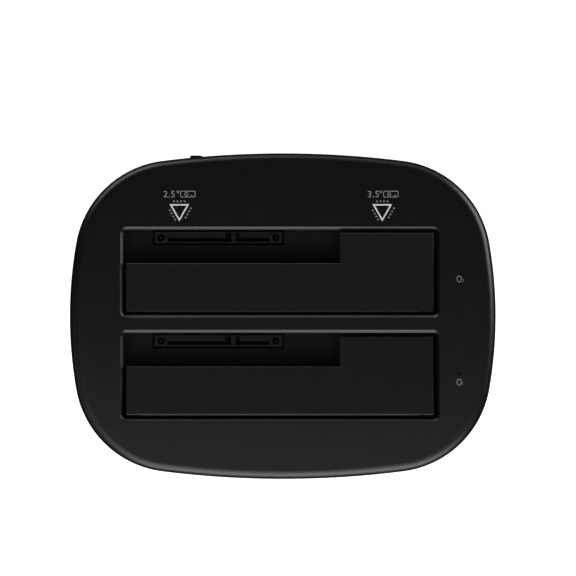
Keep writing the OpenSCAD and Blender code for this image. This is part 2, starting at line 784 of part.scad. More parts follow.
// Side view of a hinge arm, from the knuckle to the underside of the flap
function arm_profile(k) = [
    [hinge_y(k), hinge_z - knuckle_r],
    [hinge_y(k) + arm_len, flap_z - flap_t - knuckle_r],
    [hinge_y(k) + arm_len, flap_z - flap_t + eps],
    [bay_front(k) + flap_end_gap, flap_z - flap_t + eps],
    [bay_front(k) + flap_end_gap, ceiling_z - stop_gap],
    [hinge_y(k) + pin_r, ceiling_z - stop_gap],
    [hinge_y(k), hinge_z + knuckle_r]
];

module flap(k) {
    difference() {
        union() {
            translate([0, 0, flap_z - flap_t]) linear_extrude(flap_t) polygon(flap_outline(k));
            rod([flap_x0 + flap_end_w, flap_edge_y(k), flap_z - flap_t + flap_edge_r],
                flap_edge_r, flap_x1 - flap_x0 - 2 * flap_end_w);
            for (x = ARM_X) {
                prism_x(arm_profile(k), x, x + arm_w);
                rod([x, hinge_y(k), hinge_z], knuckle_r, arm_w);
            }
        }
        for (x = ARM_X) rod([x - 1, hinge_y(k), hinge_z], pin_r + pin_fit, arm_w + 2);
    }
}

module rear_flap() {
    color([0.09, 0.09, 0.095]) flap(0);
}

module front_flap() {
    color([0.09, 0.09, 0.095]) flap(1);
}

module flap_pin(k) {
    color([0.7, 0.7, 0.72])
        rod([frame_x0 + pin_inset, hinge_y(k), hinge_z], pin_r, frame_x1 - frame_x0 - 2 * pin_inset);
}

module rear_flap_pin() {
    flap_pin(0);
}

module front_flap_pin() {
    flap_pin(1);
}

// Torsion spring: one leg down the frame, a coil round the pin and one leg under the flap
spring_sides = 6;
spring_coil_steps = spring_turns * 12;
function spring_line(k) = let (
        r = spring_mean_r,
        x0 = bay_x - spring_run / 2,
        turn = 360 * spring_turns + 90)
    concat(
        [[x0, hinge_y(k) - r, hinge_z - spring_leg]],
        [for (i = [0:spring_coil_steps]) let (a = 180 - turn * i / spring_coil_steps)
            [x0 + spring_run * i / spring_coil_steps, hinge_y(k) + r * cos(a), hinge_z + r * sin(a)]],
        [[x0 + spring_run, bay_front(k) + spring_wire, hinge_z + r]],
        [[x0 + spring_run, hinge_y(k) + spring_leg + r, flap_z - flap_t - spring_wire / 2 - fit_gap / 2]]);

// Least distance between points of the spring's line that lie at least half a turn apart, less the wire
spring_points = spring_line(0);
spring_apart = 6;
spring_least_gap = min([for (i = [0:len(spring_points) - 1], j = [i + spring_apart:1:len(spring_points) - 1])
    norm(spring_points[i] - spring_points[j])]) - spring_wire;
echo(str("Least gap between the turns of a flap spring: ", spring_least_gap, " mm"));

function unit(v) = v / norm(v);

// Tube of a few sides along a line of points
module wire(line, r, sides) {
    n = len(line);
    heads = [for (i = [0:n - 1]) unit(line[min(i + 1, n - 1)] - line[max(i - 1, 0)])];
    rings = [for (i = [0:n - 1])
        let (
            side = unit(cross(heads[i], abs(heads[i].x) > 0.9 ? [0, 0, 1] : [1, 0, 0])),
            up = cross(heads[i], side))
            [for (j = [0:sides - 1]) let (a = 360 * j / sides) line[i] + r * (cos(a) * side + sin(a) * up)]];
    walls = [for (i = [0:n - 2], j = [0:sides - 1], t = [0, 1])
        let (a = i * sides + j, b = i * sides + (j + 1) % sides)
            t == 0 ? [a, a + sides, b + sides] : [a, b + sides, b]];
    polyhedron(
        points = [for (ring = rings) each ring],
        faces = concat([[for (j = [0:sides - 1]) j]], walls, [[for (j = [0:sides - 1]) n * sides - 1 - j]]));
}

module rear_flap_spring() {
    color([0.2, 0.2, 0.21]) wire(spring_line(0), spring_wire / 2, spring_sides);
}

module front_flap_spring() {
    color([0.2, 0.2, 0.21]) wire(spring_line(1), spring_wire / 2, spring_sides);
}

// Drive connectors

// One slot of the connector, with its key leg
module sata_pocket(slot, key_x, key_w) {
    block([slot[0], sata_front, sata_h - sata_depth],
        [slot[0] + slot[1], sata_front + sata_slot, sata_h + 1]);
    block([key_x, sata_front, sata_h - sata_depth],
        [key_x + key_w, sata_front + sata_slot + sata_key, sata_h + 1]);
}

// Guide hole round a peg in the end of a connector
module sata_guide(x) {
    difference() {
        post([x, sata_d / 2], sata_guide_r, sata_h - sata_depth, sata_h + 1);
        post([x, sata_d / 2], sata_peg_r, sata_h - sata_depth - 1, sata_h - sata_peg_drop);
    }
}

module drive_socket(k) {
    color([0.04, 0.04, 0.04]) translate([sata_x0, sata_y0(k), board_top]) difference() {
        cube([sata_w, sata_d, sata_h]);
        sata_pocket(POWER, power_key_at, power_key_w);
        sata_pocket(DATA, data_at, data_key_w);
        for (x = GUIDE_X) sata_guide(x);
    }
}

module drive_contacts(k) {
    foot = sata_h - sata_depth;
    color([0.85, 0.68, 0.3]) translate([sata_x0, sata_y0(k), board_top])
        for (slot = [POWER, DATA]) {
            first = slot[0] + (slot[1] - (slot[2] - 1) * contact_pitch) / 2;
            for (i = [0:slot[2] - 1]) {
                x = first + i * contact_pitch;
                block([x - contact_w / 2, sata_front, foot],
                    [x + contact_w / 2, sata_front + contact_t, sata_h - contact_drop]);
            }
        }
}

module rear_drive_socket() {
    drive_socket(0);
}

module front_drive_socket() {
    drive_socket(1);
}

module rear_drive_contacts() {
    drive_contacts(0);
}

module front_drive_contacts() {
    drive_contacts(1);
}

// Board and its parts

board_outline = [
    [-board_side, board_front], [board_side, board_front], [board_side, TAB_Y[0]], [tab_x, TAB_Y[0]],
    [tab_x, TAB_Y[1]], [board_side, TAB_Y[1]], [board_side, board_tail_y], [board_tail, board_tail_y],
    [board_tail, board_rear], [-board_tail, board_rear], [-board_tail, board_tail_y],
    [-board_side, board_tail_y]
];

module main_board() {
    color([0.02, 0.2, 0.1]) difference() {
        translate([0, 0, board_z]) linear_extrude(board_t) polygon(board_outline);
        for (p = STANDOFFS) post(p, small_screw_r + screw_play, board_z - 1, board_top + 1);
    }
}

module board_part(p, size) {
    translate([p.x - size.x / 2, p.y - size.y / 2, board_top]) cube(size);
}

module bridge_chip() {
    color([0.05, 0.05, 0.05]) board_part(chip_at, [chip_side, chip_side, chip_h]);
}

module flash_chip() {
    color([0.05, 0.05, 0.05]) board_part(flash_at, [flash_l, flash_w, chip_h]);
}

module crystal() {
    color([0.75, 0.75, 0.75]) board_part(crystal_at, [crystal_l, crystal_w, crystal_h]);
}

module power_inductors() {
    color([0.25, 0.25, 0.26]) for (p = INDUCTORS) board_part(p, [inductor_side, inductor_side, inductor_h]);
}

module smoothing_capacitors() {
    color([0.75, 0.76, 0.78]) for (p = CAPACITORS) post(p, cap_r, board_top, board_top + cap_h);
}

module status_leds() {
    color([0.9, 0.92, 0.95]) for (k = BAYS) board_part([led_x, led_y(k)], [1.6, 0.9, led_h]);
}

module light_guide(k) {
    shoulder = crown_z(led_y(k)) - guide_step - fit_gap;
    color([0.85, 0.87, 0.9]) union() {
        post([led_x, led_y(k)], guide_r, board_top + led_h + guide_gap, shoulder);
        post([led_x, led_y(k)], guide_tip_r, shoulder - eps, crown_z(led_y(k)));
    }
}

module rear_light_guide() {
    light_guide(0);
}

module front_light_guide() {
    light_guide(1);
}

// Rear panel and sockets

module rear_panel() {
    color([0.06, 0.06, 0.065]) difference() {
        block([-panel_w / 2, panel_back, panel_foot], [panel_w / 2, panel_y, panel_top]);
        block([usb_x - usb_w / 2 - hole_gap, panel_back - 1, panel_foot - 1],
            [usb_x + usb_w / 2 + hole_gap, panel_y + 1, board_top + usb_h + hole_gap]);
        block([jack_x - jack_w / 2 - hole_gap, panel_back - 1, panel_foot - 1],
            [jack_x + jack_w / 2 + hole_gap, panel_y + 1, board_top + jack_h + hole_gap]);
        block([switch_x - switch_l / 2 - hole_gap, panel_back - 1, switch_z - switch_w / 2 - hole_gap],
            [switch_x + switch_l / 2 + hole_gap, panel_y + 1, switch_z + switch_w / 2 + hole_gap]);
    }
}

// Mouth of the data socket, seen from behind: a bevelled square with a narrower step on top
usb_step_w = usb_mouth_w - 2.8;
usb_step_h = 3;
usb_step_z = usb_mouth_h - usb_step_h;
usb_mouth_bevel = 1.5;
usb_mouth = [
    [-usb_mouth_w / 2, 0], [usb_mouth_w / 2, 0], [usb_mouth_w / 2, usb_step_z - usb_mouth_bevel],
    [usb_step_w / 2, usb_step_z], [usb_step_w / 2, usb_mouth_h], [-usb_step_w / 2, usb_mouth_h],
    [-usb_step_w / 2, usb_step_z], [-usb_mouth_w / 2, usb_step_z - usb_mouth_bevel]
];
usb_tongue_w = usb_step_w - 0.4;
USB_TONGUES = [[2.3, 5], [7.9, 9.2]];
usb_tongue_set = 1.2;
usb_block_d = 5;

module usb_shell() {
    color([0.72, 0.73, 0.75]) translate([usb_x, usb_face - usb_d, board_top]) difference() {
        block([-usb_w / 2, 0, 0], [usb_w / 2, usb_d, usb_h]);
        block([-usb_w / 2 + usb_sheet, -1, usb_sheet],
            [usb_w / 2 - usb_sheet, usb_d - usb_sheet, usb_h - usb_sheet]);
        translate([0, usb_d + 1, usb_rim]) rotate([90, 0, 0])
            linear_extrude(usb_sheet + 2) polygon(usb_mouth);
    }
}

module usb_insulator() {
    color([0.05, 0.2, 0.55]) translate([usb_x, usb_face - usb_d, board_top]) {
        block([-usb_w / 2 + usb_sheet, 0, usb_sheet],
            [usb_w / 2 - usb_sheet, usb_block_d, usb_h - usb_sheet]);
        for (t = USB_TONGUES)
            block([-usb_tongue_w / 2, usb_block_d - eps, usb_rim + t[0]],
                [usb_tongue_w / 2, usb_d - usb_tongue_set, usb_rim + t[1]]);
    }
}

module usb_contacts() {
    rise = 0.15;
    contact_l = usb_d - usb_tongue_set - usb_block_d - 1;
    color([0.85, 0.68, 0.3]) translate([usb_x, usb_face - usb_d + usb_block_d, board_top + usb_rim]) {
        for (x = [-1.9, 1.9]) {
            block([x - 0.5, 0, USB_TONGUES[0][1]], [x + 0.5, contact_l, USB_TONGUES[0][1] + rise]);
            block([x - 0.5, 0, USB_TONGUES[0][0] - rise], [x + 0.5, contact_l, USB_TONGUES[0][0]]);
        }
        for (i = [-2:2])
            block([i - 0.25, 0, USB_TONGUES[1][0] - rise], [i + 0.25, contact_l, USB_TONGUES[1][0]]);
    }
}

module power_jack() {
    color([0.05, 0.05, 0.05]) translate([jack_x, panel_y + 0.3, 0]) difference() {
        block([-jack_w / 2, -jack_d, board_top], [jack_w / 2, 0, board_top + jack_h]);
        translate([0, 1, jack_z]) rotate([90, 0, 0]) cylinder(r = jack_r, h = jack_bore + 1);
    }
}

module power_jack_pin() {
    color([0.8, 0.8, 0.82]) translate([jack_x, panel_y + 0.3 - jack_bore, jack_z]) rotate([-90, 0, 0])
        cylinder(r = jack_pin_r, h = jack_pin_l);
}

module switch_body() {
    color([0.05, 0.05, 0.05]) translate([switch_x, 0, switch_z]) difference() {
        union() {
            block([-switch_l / 2, switch_back, -switch_w / 2], [switch_l / 2, panel_y + eps, switch_w / 2]);
            block([-mouth_l / 2 - bezel_w, panel_y, -mouth_w / 2 - bezel_w],
                [mouth_l / 2 + bezel_w, bezel_y, mouth_w / 2 + bezel_w]);
        }
        block([-mouth_l / 2, mouth_floor, -mouth_w / 2], [mouth_l / 2, bezel_y + 1, mouth_w / 2]);
        translate([0, pivot_y, -rocker_w / 2 - trunnion_l - fit_gap])
            cylinder(r = trunnion_r + pin_fit, h = rocker_w + 2 * (trunnion_l + fit_gap));
    }
}

// Plan of the rocker: two pads with a valley between them, each level with the panel when its end is out
pad_fall = (rocker_l - rocker_valley_w) / 2 * tan(rocker_tilt);
ROCKER_PLAN = [
    [-rocker_l / 2, -rocker_sink],
    [rocker_l / 2, -rocker_sink],
    [rocker_l / 2, rocker_rise - pad_fall],
    [rocker_valley_w / 2, rocker_rise],
    [0, rocker_rise - rocker_valley_d],
    [-rocker_valley_w / 2, rocker_rise],
    [-rocker_l / 2, rocker_rise - pad_fall]
];

module switch_rocker() {
    color([0.06, 0.06, 0.06]) translate([switch_x, pivot_y, switch_z]) rotate([0, 0, -rocker_tilt]) union() {
        translate([0, 0, -rocker_w / 2]) linear_extrude(rocker_w) polygon(ROCKER_PLAN);
        translate([0, 0, -rocker_w / 2 - trunnion_l]) cylinder(r = trunnion_r, h = rocker_w + 2 * trunnion_l);
    }
}

module switch_terminals() {
    color([0.8, 0.72, 0.5]) for (x = BLADE_X) {
        translate([switch_x + x, switch_back, switch_z]) union() {
            block([-blade_w / 2, -blade_l, -blade_t / 2], [blade_w / 2, 0, blade_t / 2]);
            block([-blade_w / 2, -blade_l, board_top - switch_z],
                [blade_w / 2, blade_t - blade_l, blade_t / 2]);
        }
    }
}

// Screws

module case_screws() {
    color([0.3, 0.3, 0.32]) for (p = POSTS) translate([p.x, p.y, foot_h + case_sink])
        screw(case_screw_r, case_screw_l, case_head_r, case_head_h);
}

module board_screws() {
    color([0.75, 0.75, 0.78]) for (p = STANDOFFS) translate([p.x, p.y, board_top])
        screw(small_screw_r, board_t + standoff_h - 0.6, small_head_r, small_head_h, flip = true);
}

module frame_screws() {
    color([0.75, 0.75, 0.78]) for (p = EARS) translate([p.x, p.y, ear_z - ear_t])
        screw(small_screw_r, small_screw_l, small_head_r, small_head_h);
}

top_cover();
base_cover();
bay_frame();
rear_panel();
rear_flap();
front_flap();
rear_flap_pin();
front_flap_pin();
rear_flap_spring();
front_flap_spring();
main_board();
rear_drive_socket();
front_drive_socket();
rear_drive_contacts();
front_drive_contacts();
usb_shell();
usb_insulator();
usb_contacts();
power_jack();
power_jack_pin();
switch_body();
switch_rocker();
switch_terminals();
bridge_chip();
flash_chip();
crystal();
power_inductors();
smoothing_capacitors();
status_leds();
rear_light_guide();
front_light_guide();
rubber_feet();
case_screws();
board_screws();
frame_screws();
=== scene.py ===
"""Looks of a two-bay hard drive docking station, seen from straight above on a pale floor."""

import json
import math

import bmesh
import bpy
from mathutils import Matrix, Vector, geometry


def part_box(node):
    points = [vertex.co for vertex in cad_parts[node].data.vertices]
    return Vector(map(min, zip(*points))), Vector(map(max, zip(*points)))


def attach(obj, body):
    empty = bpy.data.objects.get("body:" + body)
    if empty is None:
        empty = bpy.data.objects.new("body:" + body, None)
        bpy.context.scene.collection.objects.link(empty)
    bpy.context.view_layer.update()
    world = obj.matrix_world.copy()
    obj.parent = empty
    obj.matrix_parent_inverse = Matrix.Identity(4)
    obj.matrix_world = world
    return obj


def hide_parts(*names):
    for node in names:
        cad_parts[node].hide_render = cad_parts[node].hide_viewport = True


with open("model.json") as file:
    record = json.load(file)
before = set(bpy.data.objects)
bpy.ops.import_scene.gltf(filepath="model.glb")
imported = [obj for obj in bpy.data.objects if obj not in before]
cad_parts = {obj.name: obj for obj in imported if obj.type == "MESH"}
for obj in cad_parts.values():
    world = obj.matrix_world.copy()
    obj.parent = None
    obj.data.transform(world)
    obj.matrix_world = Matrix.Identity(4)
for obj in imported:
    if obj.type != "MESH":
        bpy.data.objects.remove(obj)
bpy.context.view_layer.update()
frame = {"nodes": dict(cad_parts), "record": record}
nodes = frame["nodes"]
scene = bpy.context.scene
MM = 0.001

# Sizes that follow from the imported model, in metres
cover_low, cover_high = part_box("top_cover")
flap_boxes = [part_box("rear_flap"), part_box("front_flap")]
guide_boxes = [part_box("rear_light_guide"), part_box("front_light_guide")]
HALF_W = cover_high.x
HALF_D = cover_high.y
TOP_Z = cover_high.z
SEAM_Z = cover_low.z
CEILING_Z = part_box("bay_frame")[1].z
SOCKET_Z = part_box("rear_drive_socket")[1].z

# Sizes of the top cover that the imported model's boxes don't give
SIDE_R = 140 * MM
FRONT_R = 316 * MM
CORNER_R = 33 * MM
CROWN_R = 600 * MM
EDGE_R = 3 * MM
DRAFT = 1.6 * MM
FOOT_H = 1.5 * MM
WALL = 2.2 * MM
ROOF_INSET = WALL + EDGE_R / 2
SEAM_BEVEL = 0.4 * MM
WINDOW_W = 69 * MM
WINDOW_TOP = SEAM_Z + 15.5 * MM
BAY_W = 103.8 * MM
BAY_D = 28 * MM
FLAP_REAR_GAP = 1 * MM
LIGHT_HOLE_R = 0.6 * MM
GUIDE_HOLE_R = 1.25 * MM
GUIDE_STEP = 1 * MM

guide_centres = [((low + high) / 2).to_2d() for low, high in guide_boxes]
bay_x = (flap_boxes[0][0].x + flap_boxes[0][1].x) / 2
bay_rears = [box[1].y + FLAP_REAR_GAP for box in flap_boxes]
bay_centres = [Vector((bay_x, rear - BAY_D / 2)) for rear in bay_rears]


def crown_z(y):
    """Height of the crowned top at a depth y."""
    return TOP_Z - CROWN_R + math.sqrt(CROWN_R**2 - y**2)


SHOULDER_Z = crown_z(HALF_D) - EDGE_R


# Camera: straight down, with the scale and the place in the frame that the photograph shows

IMAGE_SIDE = 576
PIXELS_PER_MM = 3.036
OBJECT_AT = (282.77, 316.14)
CAMERA_HEIGHT = 0.8
CLIP_NEAR = 0.01
CLIP_FAR = 10


def make_camera():
    data = bpy.data.cameras.new("camera")
    data.type = "ORTHO"
    data.ortho_scale = IMAGE_SIDE / PIXELS_PER_MM * MM
    data.clip_start = CLIP_NEAR
    data.clip_end = CLIP_FAR
    camera = bpy.data.objects.new("camera", data)
    scene.collection.objects.link(camera)
    middle = IMAGE_SIDE / 2
    camera.location = (
        (middle - OBJECT_AT[0]) / PIXELS_PER_MM * MM,
        (OBJECT_AT[1] - middle) / PIXELS_PER_MM * MM,
        CAMERA_HEIGHT,
    )
    scene.camera = camera


# Materials

NOISE_LOW = 0.3
NOISE_HIGH = 0.7
GLOSS_VARY = 0.1
GRAIN_DETAIL = 2


def new_material(name):
    """An empty principled material, with its node tree and shader."""
    material = bpy.data.materials.new(name)
    material.use_nodes = True
    tree = material.node_tree
    return material, tree, tree.nodes["Principled BSDF"]


def noise(tree, scale, detail=3, stretch=(1, 1, 1)):
    """Noise over the object's own coordinates, with grains of about 1/scale metres."""
    coords = tree.nodes.new("ShaderNodeTexCoord")
    mapping = tree.nodes.new("ShaderNodeMapping")
    mapping.inputs["Scale"].default_value = stretch
    texture = tree.nodes.new("ShaderNodeTexNoise")
    texture.inputs["Scale"].default_value = scale
    texture.inputs["Detail"].default_value = detail
    tree.links.new(coords.outputs["Object"], mapping.inputs["Vector"])
    tree.links.new(mapping.outputs["Vector"], texture.inputs["Vector"])
    return texture.outputs["Fac"]


def spread(tree, source, middle, vary):
    """Maps the usual span of a noise to a value that varies by a share of its middle."""
    node = tree.nodes.new("ShaderNodeMapRange")
    node.inputs["From Min"].default_value = NOISE_LOW
    node.inputs["From Max"].default_value = NOISE_HIGH
    node.inputs["To Min"].default_value = middle * (1 - vary)
    node.inputs["To Max"].default_value = middle * (1 + vary)
    tree.links.new(source, node.inputs["Value"])
    return node.outputs["Result"]


def tint(tree, source, colour, vary):
    """Colours a noise from darker to lighter than a colour."""
    ramp = tree.nodes.new("ShaderNodeValToRGB")
    dark, light = ramp.color_ramp.elements
    dark.position = NOISE_LOW
    light.position = NOISE_HIGH
    dark.color = [c * (1 - vary) for c in colour] + [1]
    light.color = [min(1, c * (1 + vary)) for c in colour] + [1]
    tree.links.new(source, ramp.inputs["Fac"])
    return ramp.outputs["Color"]


def bump(tree, shader, source, strength, depth):
    node = tree.nodes.new("ShaderNodeBump")
    node.inputs["Strength"].default_value = strength
    node.inputs["Distance"].default_value = depth
    tree.links.new(source, node.inputs["Height"])
    tree.links.new(node.outputs["Normal"], shader.inputs["Normal"])


# Slots below a part's face get a duller gloss and painted shade: a dark base colour that stands in for the
# shade deep in them.
SLOT_DEPTH = 1 * MM
SLOT_FADE = 0.5 * MM
SLOT_ROUGHNESS = 0.75
SLOT_PAINTED_SHADE = (0.003, 0.003, 0.003, 1)


def dull_and_paint_slot_shade(tree, shader, painted_shade_face_z):
    """Makes a finish dull in slots that go deeper than a part's face, and darkens its colour there as
    painted shade.
    """
    coords = tree.nodes.new("ShaderNodeTexCoord")
    split = tree.nodes.new("ShaderNodeSeparateXYZ")
    ramp = tree.nodes.new("ShaderNodeMapRange")
    ramp.inputs["From Min"].default_value = painted_shade_face_z - SLOT_DEPTH - SLOT_FADE
    ramp.inputs["From Max"].default_value = painted_shade_face_z - SLOT_DEPTH
    ramp.inputs["To Min"].default_value = 1
    ramp.inputs["To Max"].default_value = 0
    tree.links.new(coords.outputs["Object"], split.inputs["Vector"])
    tree.links.new(split.outputs["Z"], ramp.inputs["Value"])
    for name, kind, value in (("Roughness", "FLOAT", SLOT_ROUGHNESS), ("Base Color", "RGBA", SLOT_PAINTED_SHADE)):
        mix = tree.nodes.new("ShaderNodeMix")
        mix.data_type = kind
        tree.links.new(ramp.outputs["Result"], mix.inputs["Factor"])
        tree.links.new(shader.inputs[name].links[0].from_socket, mix.inputs["A"])
        mix.inputs["B"].default_value = value
        tree.links.new(mix.outputs["Result"], shader.inputs[name])


def finish_material(name, colour, roughness, metallic=0.0, vary=0.12, grain=3200, depth=0.02 * MM,
                    strength=0.25, patch=90, specular=0.5, stretch=(1, 1, 1), painted_shade_face_z=None):
    """A moulded, cast or plated finish: cloudy colour, uneven gloss and a fine grain in the surface, and
    painted shade in slots below a given face height.
    """
    material, tree, shader = new_material(name)
    tree.links.new(tint(tree, noise(tree, patch), colour, vary), shader.inputs["Base Color"])
    fine = noise(tree, grain, GRAIN_DETAIL, stretch)
    tree.links.new(spread(tree, fine, roughness, GLOSS_VARY), shader.inputs["Roughness"])
    bump(tree, shader, fine, strength, depth)
    shader.inputs["Metallic"].default_value = metallic
    shader.inputs["Specular IOR Level"].default_value = specular
    if painted_shade_face_z is not None:
        dull_and_paint_slot_shade(tree, shader, painted_shade_face_z)
    return material


def clear_material(name, colour, roughness, clear=0.8, ior=1.2, vary=0.2, grain=900, depth=0.01 * MM,
                   strength=0.1):
    """A clear plastic with a faint grain in the surface."""
    material, tree, shader = new_material(name)
    shader.inputs["Base Color"].default_value = (*colour, 1)
    shader.inputs["Transmission Weight"].default_value = clear
    shader.inputs["IOR"].default_value = ior
    fine = noise(tree, grain)
    tree.links.new(spread(tree, fine, roughness, vary), shader.inputs["Roughness"])
    bump(tree, shader, fine, strength, depth)
    return material


MATERIALS = {
    "case_black": finish_material("textured case plastic", (0.0013, 0.0013, 0.00135), 0.38, specular=0.36),
    "inner_black": finish_material("plain inner plastic", (0.012, 0.012, 0.0124), 0.6, grain=2200),
    "flap_black": finish_material("textured flap plastic", (0.0014, 0.0014, 0.00145), 0.38, specular=0.4),
    "spring_black": finish_material("oxide spring wire", (0.03, 0.03, 0.032), 0.4, 0.8),
    "steel": finish_material("bright steel", (0.55, 0.55, 0.56), 0.3, 1.0, stretch=(0.05, 1, 1)),
    "circuit_board": finish_material("dark green solder mask", (0.003, 0.016, 0.007), 0.45, grain=1500),
    # Its slots get painted shade below its face.
    "connector_black": finish_material("connector nylon", (0.013, 0.013, 0.0135), 0.53, grain=2500,
                                       painted_shade_face_z=SOCKET_Z),
    "contact_gold": finish_material("gold plate", (0.8, 0.56, 0.2), 0.25, 1.0),
    "plated_steel": finish_material("nickel plate", (0.62, 0.62, 0.63), 0.28, 1.0, stretch=(1, 0.1, 1)),
    "insulator_blue": finish_material("blue nylon", (0.015, 0.09, 0.42), 0.45),
    "switch_black": finish_material("satin switch nylon", (0.008, 0.008, 0.0085), 0.33, grain=2500),
    "chip_black": finish_material("moulded epoxy", (0.02, 0.02, 0.021), 0.6),
    "ferrite_grey": finish_material("ferrite", (0.1, 0.1, 0.105), 0.65, grain=1500),
    "can_aluminium": finish_material("drawn aluminium", (0.7, 0.71, 0.72), 0.32, 1.0, stretch=(1, 1, 0.05)),
    "led_white": finish_material("light chip", (0.75, 0.75, 0.7), 0.25),
    # The guide's dark tint is painted shade: it stands in for the shade in its recessed hole.
    "light_guide_clear": clear_material("clear guide darkened with painted shade", (0.02, 0.02, 0.022), 0.4),
    "foot_rubber": finish_material("foot rubber", (0.012, 0.012, 0.012), 0.75, grain=1800, depth=0.05 * MM),
    "screw_black": finish_material("black zinc", (0.03, 0.03, 0.032), 0.35, 0.9),
}
# A darker copy of the gold plate: its dark colour is painted shade for the contacts deep in the connector
# slots.
painted_shade_gold = finish_material("gold plate darkened with painted shade", (0.06, 0.045, 0.02), 0.6, 1.0)


# Mesh helpers

SHARP = math.radians(32)
MERGE = 1e-6
FILL_SLACK = 1e-5
ROUND_STEPS = 24


def link_mesh(name, verts, faces, material):
    """A mesh object with outward faces, smooth but for its sharp edges."""
    mesh = bpy.data.meshes.new(name)
    mesh.from_pydata([tuple(v) for v in verts], [], faces)
    shape = bmesh.new()
    shape.from_mesh(mesh)
    bmesh.ops.recalc_face_normals(shape, faces=shape.faces)
    for face in shape.faces:
        face.smooth = True
    for edge in shape.edges:
        edge.smooth = len(edge.link_faces) == 2 and edge.calc_face_angle() < SHARP
    shape.to_mesh(mesh)
    shape.free()
    mesh.materials.append(material)
    piece = bpy.data.objects.new(name, mesh)
    scene.collection.objects.link(piece)
    return piece


def polar(centre, radius, angle):
    return centre + radius * Vector((math.cos(angle), math.sin(angle)))


def circle(centre, radius, z):
    turns = [2 * math.pi * i / ROUND_STEPS for i in range(ROUND_STEPS)]
    return [(centre[0] + radius * math.cos(a), centre[1] + radius * math.sin(a), z) for a in turns]


def flat_circle(centre, radius):
    return [Vector((x, y)) for x, y, _ in circle(centre, radius, 0)]


def in_loop(point, loop):
    """Whether a point lies inside a closed loop of flat points."""
    inside = False
    for a, b in zip(loop, loop[1:] + loop[:1]):
        if (a.y > point.y) != (b.y > point.y):
            if point.x < a.x + (point.y - a.y) / (b.y - a.y) * (b.x - a.x):
                inside = not inside
    return inside


def within(edge, holes):
    """A test of whether a point lies inside an edge and outside all holes."""
    return lambda point: in_loop(point, edge) and not any(in_loop(point, hole) for hole in holes)


class Skin:
    """Vertices and faces of a shell that is built ring by ring."""

    def __init__(self):
        self.verts = []
        self.faces = []

    def ring(self, points):
        start = len(self.verts)
        self.verts.extend(Vector(p) for p in points)
        return list(range(start, len(self.verts)))

    def bridge(self, low, high, skip=()):
        """Quads between two rings, but for the columns in skip."""
        count = len(low)
        for i in range(count):
            if i not in skip:
                j = (i + 1) % count
                self.faces.append((low[i], low[j], high[j], high[i]))

    def strip(self, low, high):
        """Quads between two open rows."""
        for i in range(len(low) - 1):
            self.faces.append((low[i], low[i + 1], high[i + 1], high[i]))

    def shaft(self, loops):
        """Bridged loops of points. Returns the first and the last ring."""
        rings = [self.ring(loop) for loop in loops]
        for start, end in zip(rings, rings[1:]):
            self.bridge(start, end)
        return rings[0], rings[-1]

    def tube(self, centre, outer, inner, low, high):
        """A closed upright tube."""
        corners = ((outer, low), (outer, high), (inner, high), (inner, low))
        first, last = self.shaft([circle(centre, radius, z) for radius, z in corners])
        self.bridge(last, first)

    def fill(self, loops, inner, keep):
        """Triangles between closed loops and loose inner points, whose middles pass a test."""
        ids = [i for loop in loops for i in loop] + list(inner)
        flat = [Vector((self.verts[i].x, self.verts[i].y)) / MM for i in ids]
        edges = []
        start = 0
        for loop in loops:
            edges.extend((start + i, start + (i + 1) % len(loop)) for i in range(len(loop)))
            start += len(loop)
        points, _, faces, origin, _, _ = geometry.delaunay_2d_cdt(flat, edges, [], 0, FILL_SLACK)
        for face in faces:
            middle = sum((points[i] for i in face), Vector((0, 0))) / len(face) * MM
            if keep(middle):
                self.faces.append(tuple(ids[origin[i][0]] for i in face))


# Outline of the body: side arcs, front arcs and corner arcs that run into each other

SIDE_STEPS = 8
CORNER_STEPS = 30
FRONT_STEPS = 14
WINDOW_STEPS = 2
EDGE_STEPS = 12
WINDOW_INSET = 0.7 * DRAFT
side_centre = Vector((HALF_W - SIDE_R, 0))
front_centre = Vector((0, HALF_D - FRONT_R))


def corner_centre():
    """Where arcs at the corner radius inside both bows meet."""
    side_reach = SIDE_R - CORNER_R
    front_reach = FRONT_R - CORNER_R
    way = front_centre - side_centre
    along = (side_reach**2 - front_reach**2 + way.length_squared) / (2 * way.length)
    across = math.sqrt(side_reach**2 - along**2)
    heading = way.normalized()
    return side_centre + along * heading + across * Vector((-heading.y, heading.x))


corner = corner_centre()
side_turn = math.atan2(corner.y - side_centre.y, corner.x - side_centre.x)
front_turn = math.atan2(corner.y - front_centre.y, corner.x - front_centre.x)
window_turn = math.acos(WINDOW_W / 2 / (FRONT_R - WINDOW_INSET))


def steps(start, end, count):
    return [start + (end - start) * i / count for i in range(count)]


def quarter_outline(inset):
    """Points from the right-hand end round to just before the middle of the rear."""
    side_angles = steps(0, side_turn, SIDE_STEPS)
    corner_angles = steps(side_turn, front_turn, CORNER_STEPS)
    front_angles = steps(front_turn, window_turn, WINDOW_STEPS)
    front_angles += steps(window_turn, math.pi / 2, FRONT_STEPS - WINDOW_STEPS)
    return (
        [polar(side_centre, SIDE_R - inset, a) for a in side_angles]
        + [polar(corner, CORNER_R - inset, a) for a in corner_angles]
        + [polar(front_centre, FRONT_R - inset, a) for a in front_angles]
    )


def outline(inset):
    """The whole outline, anticlockwise from the right-hand end."""
    right = quarter_outline(inset)
    rear = right + [Vector((0, HALF_D - inset))] + [Vector((-p.x, p.y)) for p in reversed(right)]
    front = [-p for p in rear[1:-1]]
    return rear + front


def wall_inset(z):
    return DRAFT * (SHOULDER_Z - min(z, SHOULDER_Z)) / (SHOULDER_Z - FOOT_H)


def flat_ring(inset, z):
    return [(p.x, p.y, z) for p in outline(inset)]


def edge_ring(turn):
    """A ring of the rounded top edge, which follows the crown."""
    inner = outline(EDGE_R)
    ring = outline(EDGE_R * (1 - math.cos(turn)))
    return [(p.x, p.y, crown_z(q.y) - EDGE_R * (1 - math.sin(turn))) for p, q in zip(ring, inner)]


# Rim of a bay

